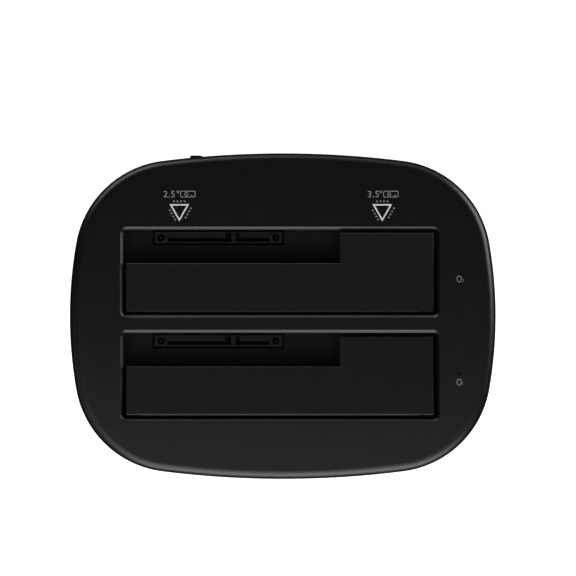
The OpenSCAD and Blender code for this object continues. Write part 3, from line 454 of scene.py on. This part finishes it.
RIM_BEVEL = 0.97 * MM
RIM_SOFT = 0.05 * MM
RIM_ROUND = RIM_SOFT / 4
RIM_FLAT = 0.12 * MM
RIM_PROFILE = [
    # how far it stands outside the mouth and below the crown, from the top down
    (RIM_BEVEL + RIM_SOFT + RIM_FLAT, 0.0),
    (RIM_BEVEL + RIM_SOFT, 0.0),
    (RIM_BEVEL, RIM_ROUND),
    (RIM_BEVEL - RIM_SOFT, RIM_SOFT),
    (RIM_SOFT, RIM_BEVEL - RIM_SOFT),
    (RIM_ROUND, RIM_BEVEL),
    (0.0, RIM_BEVEL + RIM_SOFT),
]
RIM_GROW = RIM_PROFILE[0][0]
RIM_R = 1.2 * MM
RIM_CORNER_STEPS = 8
RIM_STEP = 4 * MM
RIM_END_SHARE = 0.8
WELL_IN = 0.27 * MM
WELL_D = 11.4 * MM
WELL_STEP = 0.08 * MM


def rim_loop(centre, grow):
    """A rounded rectangle round a bay, with points along its straight sides too.

    It grows less at its ends, and its left end slopes further in beside the small slot.
    """
    half = Vector((BAY_W / 2 - RIM_R - grow * (1 - RIM_END_SHARE), BAY_D / 2 - RIM_R))
    slope = WELL_IN * max(0, 1 - grow / RIM_GROW)
    well_end = WELL_D - RIM_R
    corners = [(1, 1, 0), (-1, 1, 90), (-1, -1, 180), (1, -1, 270)]
    points = []
    for n, (sx, sy, start) in enumerate(corners):
        middle = centre + Vector((sx * half.x, sy * half.y))
        turns = [math.radians(start + 90 * i / RIM_CORNER_STEPS) for i in range(RIM_CORNER_STEPS + 1)]
        arc = [polar(middle, RIM_R + grow, a) for a in turns]
        nx, ny, _ = corners[(n + 1) % len(corners)]
        side = Vector(((nx - sx) * half.x, (ny - sy) * half.y))
        pieces = max(1, round(side.length / RIM_STEP))
        reaches = [side.length * i / pieces for i in range(1, pieces)]
        beside_well = (sx, sy) == (-1, 1)
        if beside_well:
            reaches = sorted(reaches + [well_end, well_end + WELL_STEP])
        run = [arc[-1] + side.normalized() * reach for reach in reaches]
        if beside_well:
            for turn, point in zip(turns, arc):
                point.x -= slope * math.cos(turn)
            for reach, point in zip(reaches, run):
                if reach <= well_end:
                    point.x += slope
        points += arc + run
    return points


# Top cover

SHOULDER_LEAD = EDGE_R / 4
WALL_ROWS = [SEAM_Z + SEAM_BEVEL, 12 * MM, 16 * MM, 20 * MM, WINDOW_TOP, 32 * MM, 42 * MM, 52 * MM]
WINDOW_ROW = WALL_ROWS.index(WINDOW_TOP) + 1
WINDOW_SLACK = 0.3 * MM
GRID_X = 5 * MM
GRID_Y = 2.5 * MM
GRID_MARGIN = 1 * MM
BOSSES = [
    # node of the screws that go into them, outer and inner radius, height of the foot
    ("case_screws", 3.4 * MM, 1.5 * MM, 10.15 * MM),
    ("frame_screws", 3.2 * MM, 1.25 * MM, 52.8 * MM),
]
BOSS_INTO_ROOF = 0.3 * MM
SLEEVE_L = 10 * MM


def window_columns():
    """Columns of the walls that the window for the rear panel cuts away."""
    ring = outline(0)
    half = WINDOW_W / 2 + WINDOW_SLACK
    return [i for i in range(len(ring) - 1)
            if ring[i].y > 0 and abs(ring[i].x) < half and abs(ring[i + 1].x) < half]


def add_walls(skin):
    """The outer and inner walls, joined below and round the window. Returns their top rings."""
    outer = [skin.ring(flat_ring(wall_inset(SEAM_Z) + SEAM_BEVEL, SEAM_Z))]
    outer += [skin.ring(flat_ring(wall_inset(z), z)) for z in WALL_ROWS]
    outer.append(skin.ring(flat_ring(0, SHOULDER_Z - SHOULDER_LEAD)))
    inner = [skin.ring(flat_ring(wall_inset(SEAM_Z) + WALL, SEAM_Z))]
    inner += [skin.ring(flat_ring(wall_inset(z) + WALL, z)) for z in WALL_ROWS]
    inner.append(skin.ring(flat_ring(WALL, CEILING_Z - EDGE_R)))
    inner.append(skin.ring(flat_ring(ROOF_INSET, CEILING_Z)))
    window = window_columns()
    for rings in (outer, inner):
        for n in range(len(rings) - 1):
            skin.bridge(rings[n], rings[n + 1], window if n < WINDOW_ROW else ())
    skin.bridge(inner[0], outer[0], window)
    across = window + [window[-1] + 1]
    skin.strip([outer[WINDOW_ROW][i] for i in across], [inner[WINDOW_ROW][i] for i in across])
    for i in (across[0], across[-1]):
        outer_side = [ring[i] for ring in outer[:WINDOW_ROW + 1]]
        inner_side = [ring[i] for ring in inner[:WINDOW_ROW + 1]]
        skin.strip(outer_side, inner_side)
    return outer[-1], inner[-1]


def bay_mouth(centre):
    """Loops of a bay's rim and mouth, from the top down."""
    loops = [[(p.x, p.y, crown_z(p.y) - drop) for p in rim_loop(centre, grow)] for grow, drop in RIM_PROFILE]
    return loops + [[(p.x, p.y, CEILING_Z) for p in rim_loop(centre, 0)]]


def light_hole(centre):
    """Loops of a stepped light hole, from the top down."""
    step_z = crown_z(centre.y) - GUIDE_STEP
    loops = [[(p.x, p.y, crown_z(p.y)) for p in flat_circle(centre, LIGHT_HOLE_R)]]
    for radius, z in ((LIGHT_HOLE_R, step_z), (GUIDE_HOLE_R, step_z), (GUIDE_HOLE_R, CEILING_Z)):
        loops.append(circle(centre, radius, z))
    return loops


def openings(rim_grow, hole_r):
    """Loops round the bays and the light holes."""
    loops = [rim_loop(centre, rim_grow) for centre in bay_centres]
    return loops + [flat_circle(centre, hole_r) for centre in guide_centres]


def top_grid():
    """Loose points over the top, clear of its edge and its openings."""
    holes = openings(RIM_BEVEL + GRID_MARGIN, LIGHT_HOLE_R + GRID_MARGIN)
    keep = within(outline(EDGE_R + GRID_MARGIN), holes)
    rows = round(HALF_D / GRID_Y)
    columns = round(HALF_W / GRID_X)
    grid = [Vector((column * GRID_X, row * GRID_Y))
            for row in range(-rows, rows + 1) for column in range(-columns, columns + 1)]
    return [point for point in grid if keep(point)]


def islands(node):
    """Middles, seen from above, of the separate solids in a node."""
    shape = bmesh.new()
    shape.from_mesh(node.data)
    bmesh.ops.remove_doubles(shape, verts=shape.verts, dist=MERGE)
    left = set(shape.verts)
    middles = []
    while left:
        group, queue = [], [left.pop()]
        while queue:
            vert = queue.pop()
            group.append(vert.co.copy())
            for edge in vert.link_edges:
                other = edge.other_vert(vert)
                if other in left:
                    left.remove(other)
                    queue.append(other)
        xs = [p.x for p in group]
        ys = [p.y for p in group]
        middles.append(((min(xs) + max(xs)) / 2, (min(ys) + max(ys)) / 2))
    shape.free()
    return sorted(middles)


def add_bosses(skin):
    """Screw bosses and light sleeves under the roof, where the screws and guides say."""
    roof = CEILING_Z + BOSS_INTO_ROOF
    for name, outer, inner, low in BOSSES:
        for centre in islands(nodes[name]):
            skin.tube(centre, outer, inner, low, roof)
    for centre in guide_centres:
        skin.tube(centre, GUIDE_HOLE_R + WALL / 2, GUIDE_HOLE_R, CEILING_Z - SLEEVE_L, roof)


def make_cover():
    """The top cover as one closed shell, with the bosses under its roof."""
    skin = Skin()
    wall_top, roof_edge = add_walls(skin)
    edge_turns = [math.pi / 2 * i / EDGE_STEPS for i in range(EDGE_STEPS + 1)]
    edge_low, top_edge = skin.shaft([edge_ring(turn) for turn in edge_turns])
    skin.bridge(wall_top, edge_low)
    shafts = [skin.shaft(bay_mouth(centre)) for centre in bay_centres]
    shafts += [skin.shaft(light_hole(centre)) for centre in guide_centres]
    loose = skin.ring([(p.x, p.y, crown_z(p.y)) for p in top_grid()])
    on_top = within(outline(EDGE_R), openings(RIM_GROW, LIGHT_HOLE_R))
    skin.fill([top_edge] + [first for first, _ in shafts], loose, on_top)
    on_roof = within(outline(ROOF_INSET), openings(0, GUIDE_HOLE_R))
    skin.fill([roof_edge] + [last for _, last in shafts], [], on_roof)
    add_bosses(skin)
    cover = link_mesh("cover_shell", skin.verts, skin.faces, MATERIALS["case_black"])
    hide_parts("top_cover")
    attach(cover, "dock")


# Flap springs: the coil stays on its pin, and the last turn with its leg goes down with the flap

SPRING_WIRE = 0.5 * MM
SPRING_CLEAR = 0.2 * MM
SPRING_TURNS = 6.25
SPRING_TURN_STEPS = 24
SPRING_SIDES = 12
SPRING_SPLIT = 5.25
SPRING_OVERLAP = 0.25
LEG_WIRE_SHARE = 0.97
LEG_SHORT = 0.8 * MM
LEG_UNDER_FLAP = 2.13 * MM


def wire_mesh(name, line, radius):
    """A round wire along a line of points."""
    turns = [2 * math.pi * i / SPRING_SIDES for i in range(SPRING_SIDES)]
    loops = []
    side = Vector((1, 0, 0))
    for n, point in enumerate(line):
        way = (line[min(n + 1, len(line) - 1)] - line[max(n - 1, 0)]).normalized()
        side = (side - way * side.dot(way)).normalized()
        across = way.cross(side)
        loops.append([point + radius * (side * math.cos(a) + across * math.sin(a)) for a in turns])
    skin = Skin()
    for end in skin.shaft(loops):
        skin.faces.append(tuple(end))
    return link_mesh(name, skin.verts, skin.faces, MATERIALS["spring_black"])


def make_spring(name, rear, flap_top):
    """A flap's spring in two pieces, which overlap for a part of a turn."""
    low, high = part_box(f"{name}_flap_spring")
    pin_low, pin_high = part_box(f"{name}_flap_pin")
    axis = (pin_low + pin_high) / 2
    radius = (pin_high.z - pin_low.z) / 2 + SPRING_CLEAR + SPRING_WIRE / 2
    first = low.x + SPRING_WIRE / 2
    last = high.x - SPRING_WIRE / 2

    def coil(start, end):
        count = round((end - start) * SPRING_TURN_STEPS)
        line = []
        for turn in [start + (end - start) * i / count for i in range(count + 1)]:
            angle = math.pi * (1 - 2 * turn)
            line.append(Vector((first + (last - first) * turn / SPRING_TURNS,
                                axis.y + radius * math.cos(angle), axis.z + radius * math.sin(angle))))
        return line

    fixed = [Vector((first, axis.y - radius, low.z))] + coil(0, SPRING_SPLIT + SPRING_OVERLAP)
    mouth_front = rear - BAY_D
    moving = coil(SPRING_SPLIT, SPRING_TURNS) + [
        Vector((last, mouth_front + SPRING_WIRE, axis.z + radius)),
        Vector((last, high.y - LEG_SHORT, flap_top - LEG_UNDER_FLAP)),
    ]
    coil_piece = wire_mesh(f"{name}_spring_coil", fixed, SPRING_WIRE / 2)
    leg_piece = wire_mesh(f"{name}_spring_leg", moving, SPRING_WIRE / 2 * LEG_WIRE_SHARE)
    for piece, body in ((coil_piece, "dock"), (leg_piece, f"{name}_flap")):
        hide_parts(f"{name}_flap_spring")
        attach(piece, body)


def make_springs():
    for name, rear, box in zip(("rear", "front"), bay_rears, flap_boxes):
        make_spring(name, rear, box[1].z)


# Modifier groups

def new_group(name):
    """An empty modifier group, with its incoming and outgoing geometry."""
    group = bpy.data.node_groups.new(name, "GeometryNodeTree")
    for way in ("INPUT", "OUTPUT"):
        group.interface.new_socket("Geometry", in_out=way, socket_type="NodeSocketGeometry")
    start = group.nodes.new("NodeGroupInput")
    end = group.nodes.new("NodeGroupOutput")
    return group, start.outputs[0], end.inputs[0]


def places(group):
    """The x, y and z of what a group works on."""
    place = group.nodes.new("GeometryNodeInputPosition")
    split = group.nodes.new("ShaderNodeSeparateXYZ")
    group.links.new(place.outputs["Position"], split.inputs["Vector"])
    return split.outputs


def greater(group, value, limit):
    node = group.nodes.new("FunctionNodeCompare")
    node.operation = "GREATER_THAN"
    node.inputs["B"].default_value = limit
    group.links.new(value, node.inputs["A"])
    return node.outputs["Result"]


def both(group, first, second):
    node = group.nodes.new("FunctionNodeBooleanMath")
    group.links.new(first, node.inputs[0])
    group.links.new(second, node.inputs[1])
    return node.outputs["Boolean"]


def smooth_group(name, crisp):
    """Shades every face smooth, and keeps sharp edges where crisp."""
    group, start, end = new_group(name)
    smooth = group.nodes.new("GeometryNodeSetShadeSmooth")
    group.links.new(start, smooth.inputs["Geometry"])
    shaded = smooth.outputs["Geometry"]
    if crisp:
        angle = group.nodes.new("GeometryNodeInputMeshEdgeAngle")
        sharpen = group.nodes.new("GeometryNodeSetShadeSmooth")
        sharpen.domain = "EDGE"
        sharpen.inputs["Shade Smooth"].default_value = False
        sharp = greater(group, angle.outputs["Unsigned Angle"], SHARP)
        group.links.new(sharp, sharpen.inputs["Selection"])
        group.links.new(shaded, sharpen.inputs["Geometry"])
        shaded = sharpen.outputs["Geometry"]
    group.links.new(shaded, end)
    return group


def raise_group(limit, lift):
    """Lifts all that is higher than a limit."""
    group, start, end = new_group("raised top")
    move = group.nodes.new("GeometryNodeSetPosition")
    move.inputs["Offset"].default_value = (0, 0, lift)
    group.links.new(greater(group, places(group)["Z"], limit), move.inputs["Selection"])
    group.links.new(start, move.inputs["Geometry"])
    group.links.new(move.outputs["Geometry"], end)
    return group


def chamfer_group(limits):
    """Marks for a bevel the edges to the right of, behind and above three limits."""
    group, start, end = new_group("chamfered edges")
    store = group.nodes.new("GeometryNodeStoreNamedAttribute")
    store.domain = "EDGE"
    store.inputs["Name"].default_value = "bevel_weight_edge"
    store.inputs["Value"].default_value = 1
    place = places(group)
    right, behind, above = [greater(group, place[axis], limit) for axis, limit in zip("XYZ", limits)]
    group.links.new(both(group, both(group, right, behind), above), store.inputs["Selection"])
    group.links.new(start, store.inputs["Geometry"])
    group.links.new(store.outputs["Geometry"], end)
    return group


# Finishes of the CAD nodes, with softened edges

SOFT_ANGLE = math.radians(28)
SOFT_SEGMENTS = 3
FLAT_ANGLE = math.radians(0.3)
FACE_WEIGHT = 80
EDGE_SOFT = {
    "base_cover": 0.15 * MM,
    "bay_frame": 0.15 * MM,
    "rear_panel": 0.15 * MM,
    "rear_drive_socket": 0.12 * MM,
    "front_drive_socket": 0.12 * MM,
    "usb_shell": 0.08 * MM,
    "usb_insulator": 0.1 * MM,
    "power_jack": 0.2 * MM,
    "power_jack_pin": 0.3 * MM,
    "switch_body": 0.3 * MM,
    "switch_rocker": 0.3 * MM,
    "rubber_feet": 0.4 * MM,
    "case_screws": 0.12 * MM,
    "smoothing_capacitors": 0.4 * MM,
}
SMALL_SOFT = 0.05 * MM
REPLACED = ("top_cover", "rear_flap_spring", "front_flap_spring")
# Contacts that get the gold plate darkened with painted shade.
PAINTED_SHADE_CONTACTS = ("rear_drive_contacts", "front_drive_contacts")
FLAPS = {
    # how far its top is raised, and how far behind its front the chamfered edges begin
    "rear_flap": (0.95 * MM, 1 * MM),
    "front_flap": (0.6 * MM, -1 * MM),
}
FLAP_CHAMFER = 0.25 * MM
FLAP_PLAIN_LEFT = 1 * MM
TOP_SLACK = 0.05 * MM
shade_smooth = smooth_group("shade smooth", False)
shade_crisp = smooth_group("shade crisp", True)


def join_faces(piece):
    """Merges a mesh's vertices and flat faces."""
    weld = piece.modifiers.new("weld", "WELD")
    weld.merge_threshold = MERGE
    flat = piece.modifiers.new("flat faces", "DECIMATE")
    flat.decimate_type = "DISSOLVE"
    flat.angle_limit = FLAT_ANGLE


def bevel_edges(piece, method, width, segments, shading):
    """Bevels a mesh's edges and shades it by a modifier group."""
    bevel = piece.modifiers.new("edges", "BEVEL")
    bevel.width = width
    bevel.segments = segments
    bevel.limit_method = method
    bevel.angle_limit = SOFT_ANGLE
    bevel.use_clamp_overlap = True
    close = piece.modifiers.new("close", "WELD")
    close.merge_threshold = MERGE
    piece.modifiers.new("smooth", "NODES").node_group = shading
    even = piece.modifiers.new("even faces", "WEIGHTED_NORMAL")
    even.keep_sharp = True
    even.weight = FACE_WEIGHT


def dress_flap(node, lift, plain_front):
    """Raises a flap's top towards the rim round it, and chamfers the top's edges that catch the light."""
    points = [v.co for v in node.data.vertices]
    left = min(p.x for p in points) + FLAP_PLAIN_LEFT
    front = min(p.y for p in points) + plain_front
    top = max(p.z for p in points) - TOP_SLACK
    node.modifiers.new("raised top", "NODES").node_group = raise_group(top, lift)
    join_faces(node)
    node.modifiers.new("chamfered edges", "NODES").node_group = chamfer_group((left, front, top + lift))
    bevel_edges(node, "WEIGHT", FLAP_CHAMFER, 1, shade_crisp)


def dress_nodes():
    for part in frame["record"]["subparts"]:
        name = part["node"]
        if name in REPLACED:
            continue
        node = nodes[name]
        material = painted_shade_gold if name in PAINTED_SHADE_CONTACTS else MATERIALS[part["material_slot"]]
        node.data.materials.clear()
        node.data.materials.append(material)
        if name in FLAPS:
            dress_flap(node, *FLAPS[name])
        else:
            join_faces(node)
            bevel_edges(node, "ANGLE", EDGE_SOFT.get(name, SMALL_SOFT), SOFT_SEGMENTS, shade_smooth)


# Printed marks, which lie on the crown

PRINT_LIFT = 0.02 * MM
PRINT_FILM = 0.8 * PRINT_LIFT
INKS = {"white": 0.56, "grey": 0.19, "dim": 0.15, "faint": 0.09}
PRINTS = {
    ink: finish_material(f"{ink} print", (grey, grey, grey), 0.55, vary=0.06, patch=1500)
    for ink, grey in INKS.items()
}
ROUNDED_STEPS = 5
NUMBER_H = 2.15 * MM
NUMBER_Y = 39.13 * MM
NUMBER_SPACING = 1.08
INCH_X = -0.75 * MM
INCH_PITCH = 0.5 * MM
INCH_L = 0.75 * MM
INCH_W = 0.26 * MM
DRIVE_X = 0.3 * MM
DRIVE_W = 5 * MM
DRIVE_CORNER = 0.4 * MM
DRIVE_LINE = 0.23 * MM
DISC_AT = Vector((-0.5 * MM, 0))
DISC_R = 0.6 * MM
BAR_AT = Vector((0.85 * MM, -0.45 * MM))
BAR_L = 0.8 * MM
ARROW_W = 6.5 * MM
ARROW_H = 5.72 * MM
ARROW_TIP_Y = 31.18 * MM
ARROW_LINE = 0.48 * MM
DASH_COUNT = 4
DASH_L = 0.55 * MM
DASH_PITCH = 1.16 * MM
DASH_W = 0.55 * MM
DASH_TOP_AT = Vector((-2.05 * MM, ARROW_H + 0.9 * MM))
DASH_SIDES = [
    # side of the triangle, how far up from its tip the row begins, and how far out it lies
    (-1, 0.95 * MM, 0.9 * MM),
    (1, 1.9 * MM, 1.15 * MM),
]
MARK_SETS = [
    # name, number, middle, and how far the number starts to the left of it
    ("small", "2.5", -34.06 * MM, 5.25 * MM),
    ("large", "3.5", 32.79 * MM, 4.75 * MM),
]
ICON_AT = Vector((-0.1 * MM, -2.75 * MM))
LAMP_HALVES = [(0.9 * MM, 1.2 * MM), (0.5 * MM, 0.78 * MM)]
LAMP_BEND_ABOVE = 0.75
LAMP_BEND_BELOW = 1.1
DIGIT_AT = Vector((0.95 * MM, -1.05 * MM))
DIGIT_H = 1.1 * MM


def join_shapes(shapes):
    verts, faces = [], []
    for shape_verts, shape_faces in shapes:
        start = len(verts)
        verts.extend(shape_verts)
        faces.extend(tuple(start + i for i in face) for face in shape_faces)
    return verts, faces


def print_piece(name, ink, shapes):
    """Flat shapes laid on the crowned top as a thin film of ink."""
    verts, faces = join_shapes(shapes)
    raised = [(v[0], v[1], crown_z(v[1]) + PRINT_LIFT) for v in verts]
    piece = link_mesh(name, raised, faces, PRINTS[ink])
    film = piece.modifiers.new("ink", "SOLIDIFY")
    film.thickness = PRINT_FILM
    film.offset = -1
    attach(piece, "dock")


def frame_faces(outer, inner):
    """Vertices and faces of the band between two loops of equally many points."""
    count = len(outer)
    faces = [(i, (i + 1) % count, count + (i + 1) % count, count + i) for i in range(count)]
    return list(outer) + list(inner), faces


def bar_shape(start, end, width):
    """A straight bar between two flat points."""
    side = (end - start).normalized().orthogonal() * width / 2
    return [start - side, end - side, end + side, start + side], [(0, 1, 2, 3)]


def rounded_loop(centre, half, radius):
    points = []
    for sx, sy, start in ((1, 1, 0), (-1, 1, 90), (-1, -1, 180), (1, -1, 270)):
        middle = centre + Vector((sx * (half.x - radius), sy * (half.y - radius)))
        turns = [math.radians(start + 90 * i / ROUNDED_STEPS) for i in range(ROUNDED_STEPS + 1)]
        points += [polar(middle, radius, turn) for turn in turns]
    return points


def number_shape(text, height, left, bottom):
    """The outline of plain numbers as flat faces, with its lower left corner at a place."""
    curve = bpy.data.curves.new("number", "FONT")
    curve.body = text
    curve.space_character = NUMBER_SPACING
    holder = bpy.data.objects.new("number", curve)
    scene.collection.objects.link(holder)
    mesh = bpy.data.meshes.new_from_object(holder.evaluated_get(bpy.context.evaluated_depsgraph_get()))
    xs = [v.co.x for v in mesh.vertices]
    ys = [v.co.y for v in mesh.vertices]
    scale = height / (max(ys) - min(ys))
    verts = [(left + (x - min(xs)) * scale, bottom + (y - min(ys)) * scale) for x, y in zip(xs, ys)]
    faces = [tuple(p.vertices) for p in mesh.polygons]
    bpy.data.objects.remove(holder)
    bpy.data.curves.remove(curve)
    bpy.data.meshes.remove(mesh)
    return verts, faces


def inch_shapes(x):
    """Two short upright strokes."""
    down = Vector((0, -INCH_L))
    tops = [Vector((x + n * INCH_PITCH, NUMBER_Y + NUMBER_H)) for n in range(2)]
    return [bar_shape(top, top + down, INCH_W) for top in tops]


def drive_shapes(left):
    """A small picture of a drive: a rounded frame with a disc and a bar in it."""
    half = Vector((DRIVE_W / 2, NUMBER_H / 2))
    inner_half = half - Vector((DRIVE_LINE, DRIVE_LINE))
    centre = Vector((left + half.x, NUMBER_Y + half.y))
    disc = centre + DISC_AT
    bar = centre + BAR_AT
    return [
        frame_faces(rounded_loop(centre, half, DRIVE_CORNER),
                    rounded_loop(centre, inner_half, DRIVE_CORNER - DRIVE_LINE)),
        frame_faces(flat_circle(disc, DISC_R), flat_circle(disc, DISC_R - DRIVE_LINE)),
        bar_shape(bar, bar + Vector((BAR_L, 0)), DRIVE_LINE),
    ]


def arrow_shape(x):
    """An outlined triangle that points down at the bay."""
    outer = [Vector((x - ARROW_W / 2, ARROW_TIP_Y + ARROW_H)), Vector((x, ARROW_TIP_Y)),
             Vector((x + ARROW_W / 2, ARROW_TIP_Y + ARROW_H))]
    lengths = [(outer[(i + 1) % 3] - outer[(i + 2) % 3]).length for i in range(3)]
    middle = sum((p * n for p, n in zip(outer, lengths)), Vector((0, 0))) / sum(lengths)
    inside = ARROW_W * ARROW_H / sum(lengths)
    inner = [middle + (p - middle) * (1 - ARROW_LINE / inside) for p in outer]
    return frame_faces(outer, inner)


def dash_row(start, way):
    """Small plain dashes in a row."""
    firsts = [start + way * DASH_PITCH * n for n in range(DASH_COUNT)]
    return [bar_shape(first, first + way * DASH_L, DASH_W) for first in firsts]


def dash_shapes(x):
    """Rows of dashes along the three sides of the triangle."""
    tip = Vector((x, ARROW_TIP_Y))
    shapes = dash_row(tip + DASH_TOP_AT, Vector((1, 0)))
    for side, along, off in DASH_SIDES:
        way = Vector((side * ARROW_W / 2, ARROW_H)).normalized()
        out = Vector((side * way.y, -side * way.x))
        shapes += dash_row(tip + way * along + out * off, way)
    return shapes


def lamp_shape(centre):
    """A ring that is broad and round above and narrower below."""
    loops = []
    for half_w, half_h in LAMP_HALVES:
        loop = []
        for n in range(ROUND_STEPS):
            turn = 2 * math.pi * n / ROUND_STEPS
            across, up = math.cos(turn), math.sin(turn)
            bend = LAMP_BEND_ABOVE if up > 0 else LAMP_BEND_BELOW
            loop.append(centre + Vector((half_w * math.copysign(abs(across)**bend, across),
                                         half_h * math.copysign(abs(up)**bend, up))))
        loops.append(loop)
    return frame_faces(*loops)


def make_marks():
    for name, number, x, lead in MARK_SETS:
        shapes = [number_shape(number, NUMBER_H, x - lead, NUMBER_Y)]
        shapes += inch_shapes(x + INCH_X) + drive_shapes(x + DRIVE_X)
        print_piece(f"{name}_drive_number", "grey", shapes)
        print_piece(f"{name}_drive_arrow", "white", [arrow_shape(x)])
        print_piece(f"{name}_drive_dashes", "dim", dash_shapes(x))
    for name, number, guide in zip(("rear", "front"), ("2", "1"), guide_centres):
        icon = guide + ICON_AT
        digit = number_shape(number, DIGIT_H, *(icon + DIGIT_AT))
        print_piece(f"{name}_light_icon", "faint", [lamp_shape(icon), digit])


# Floor, light and world

FLOOR_REACH = 4
FLOOR_Z = -0.05 * MM
FLOOR_LOOK = {
    "Base Color": (0.5, 0.5, 0.5, 1),
    "Roughness": 0.9,
    "Specular IOR Level": 0.1,
    "Emission Color": (1, 1, 1, 1),
    "Emission Strength": 1,
}
LIGHT_AIM = Vector((0, 0, 0.03))
LIGHTS = [
    # name, turn from the right and rise above the floor in degrees, distance, width, height, brightness
    ("front_softbox", 277.5, 20.2, 1.1, 1.2, 0.8, 5.8),
    ("high_front_softbox", 255.5, 52.5, 1.1, 0.8, 0.8, 2.35),
    ("left_softbox", 217, 20, 1.1, 1.4, 0.7, 0.7),
    ("right_softbox", 26, 16, 1.1, 0.84, 0.5, 9.3),
    ("rear_left_softbox", 117.5, 11, 1.1, 0.9, 0.38, 6.3),
    ("rear_softbox", 62, 5.5, 1.1, 1.1, 0.2, 2.1),
]
BAY_LIGHT = ("bay_light", 270, 85.6, 4.0, 0.72, 0.72, 6.5)
BAY_NODES = ("bay_frame", "rear_drive_socket", "front_drive_socket")
WORLD_BELOW = (1, 1, 1, 1)
WORLD_ABOVE = (0.02, 0.02, 0.02, 1)
WORLD_FADE = 0.01


def make_floor():
    mesh = bpy.data.meshes.new("floor")
    corners = [(x * FLOOR_REACH, y * FLOOR_REACH, FLOOR_Z) for x, y in ((-1, -1), (1, -1), (1, 1), (-1, 1))]
    mesh.from_pydata(corners, [], [(0, 1, 2, 3)])
    floor = bpy.data.objects.new("floor", mesh)
    scene.collection.objects.link(floor)
    material, _, shader = new_material("pale floor")
    for name, value in FLOOR_LOOK.items():
        shader.inputs[name].default_value = value
    mesh.materials.append(material)
    floor.visible_glossy = False


def make_light(name, turn, rise, reach, width, height, brightness):
    turn, rise = math.radians(turn), math.radians(rise)
    way = Vector((math.cos(turn) * math.cos(rise), math.sin(turn) * math.cos(rise), math.sin(rise)))
    data = bpy.data.lights.new(name, "AREA")
    data.shape = "RECTANGLE"
    data.size = width
    data.size_y = height
    data.energy = brightness * math.pi * width * height
    light = bpy.data.objects.new(name, data)
    scene.collection.objects.link(light)
    light.location = LIGHT_AIM + way * reach
    light.rotation_euler = (-way).to_track_quat("-Z", "Y").to_euler()
    return light


def make_lights():
    for settings in LIGHTS:
        make_light(*settings)
    lit = bpy.data.collections.new("lit in the bays")
    for name in BAY_NODES:
        lit.objects.link(nodes[name])
    make_light(*BAY_LIGHT).light_linking.receiver_collection = lit


def make_world():
    """A world that is pale below and nearly black above, and that no gloss mirrors."""
    world = bpy.data.worlds.new("studio")
    scene.world = world
    world.use_nodes = True
    world.cycles_visibility.glossy = False
    tree = world.node_tree
    coords = tree.nodes.new("ShaderNodeTexCoord")
    split = tree.nodes.new("ShaderNodeSeparateXYZ")
    ramp = tree.nodes.new("ShaderNodeValToRGB")
    below, above = ramp.color_ramp.elements
    below.color = WORLD_BELOW
    above.color = WORLD_ABOVE
    above.position = WORLD_FADE
    tree.links.new(coords.outputs["Generated"], split.inputs["Vector"])
    tree.links.new(split.outputs["Z"], ramp.inputs["Fac"])
    tree.links.new(ramp.outputs["Color"], tree.nodes["Background"].inputs["Color"])
    scene.view_settings.view_transform = "Standard"
    scene.view_settings.look = "None"


make_camera()
make_cover()
make_springs()
dress_nodes()
make_marks()
make_floor()
make_lights()
make_world()
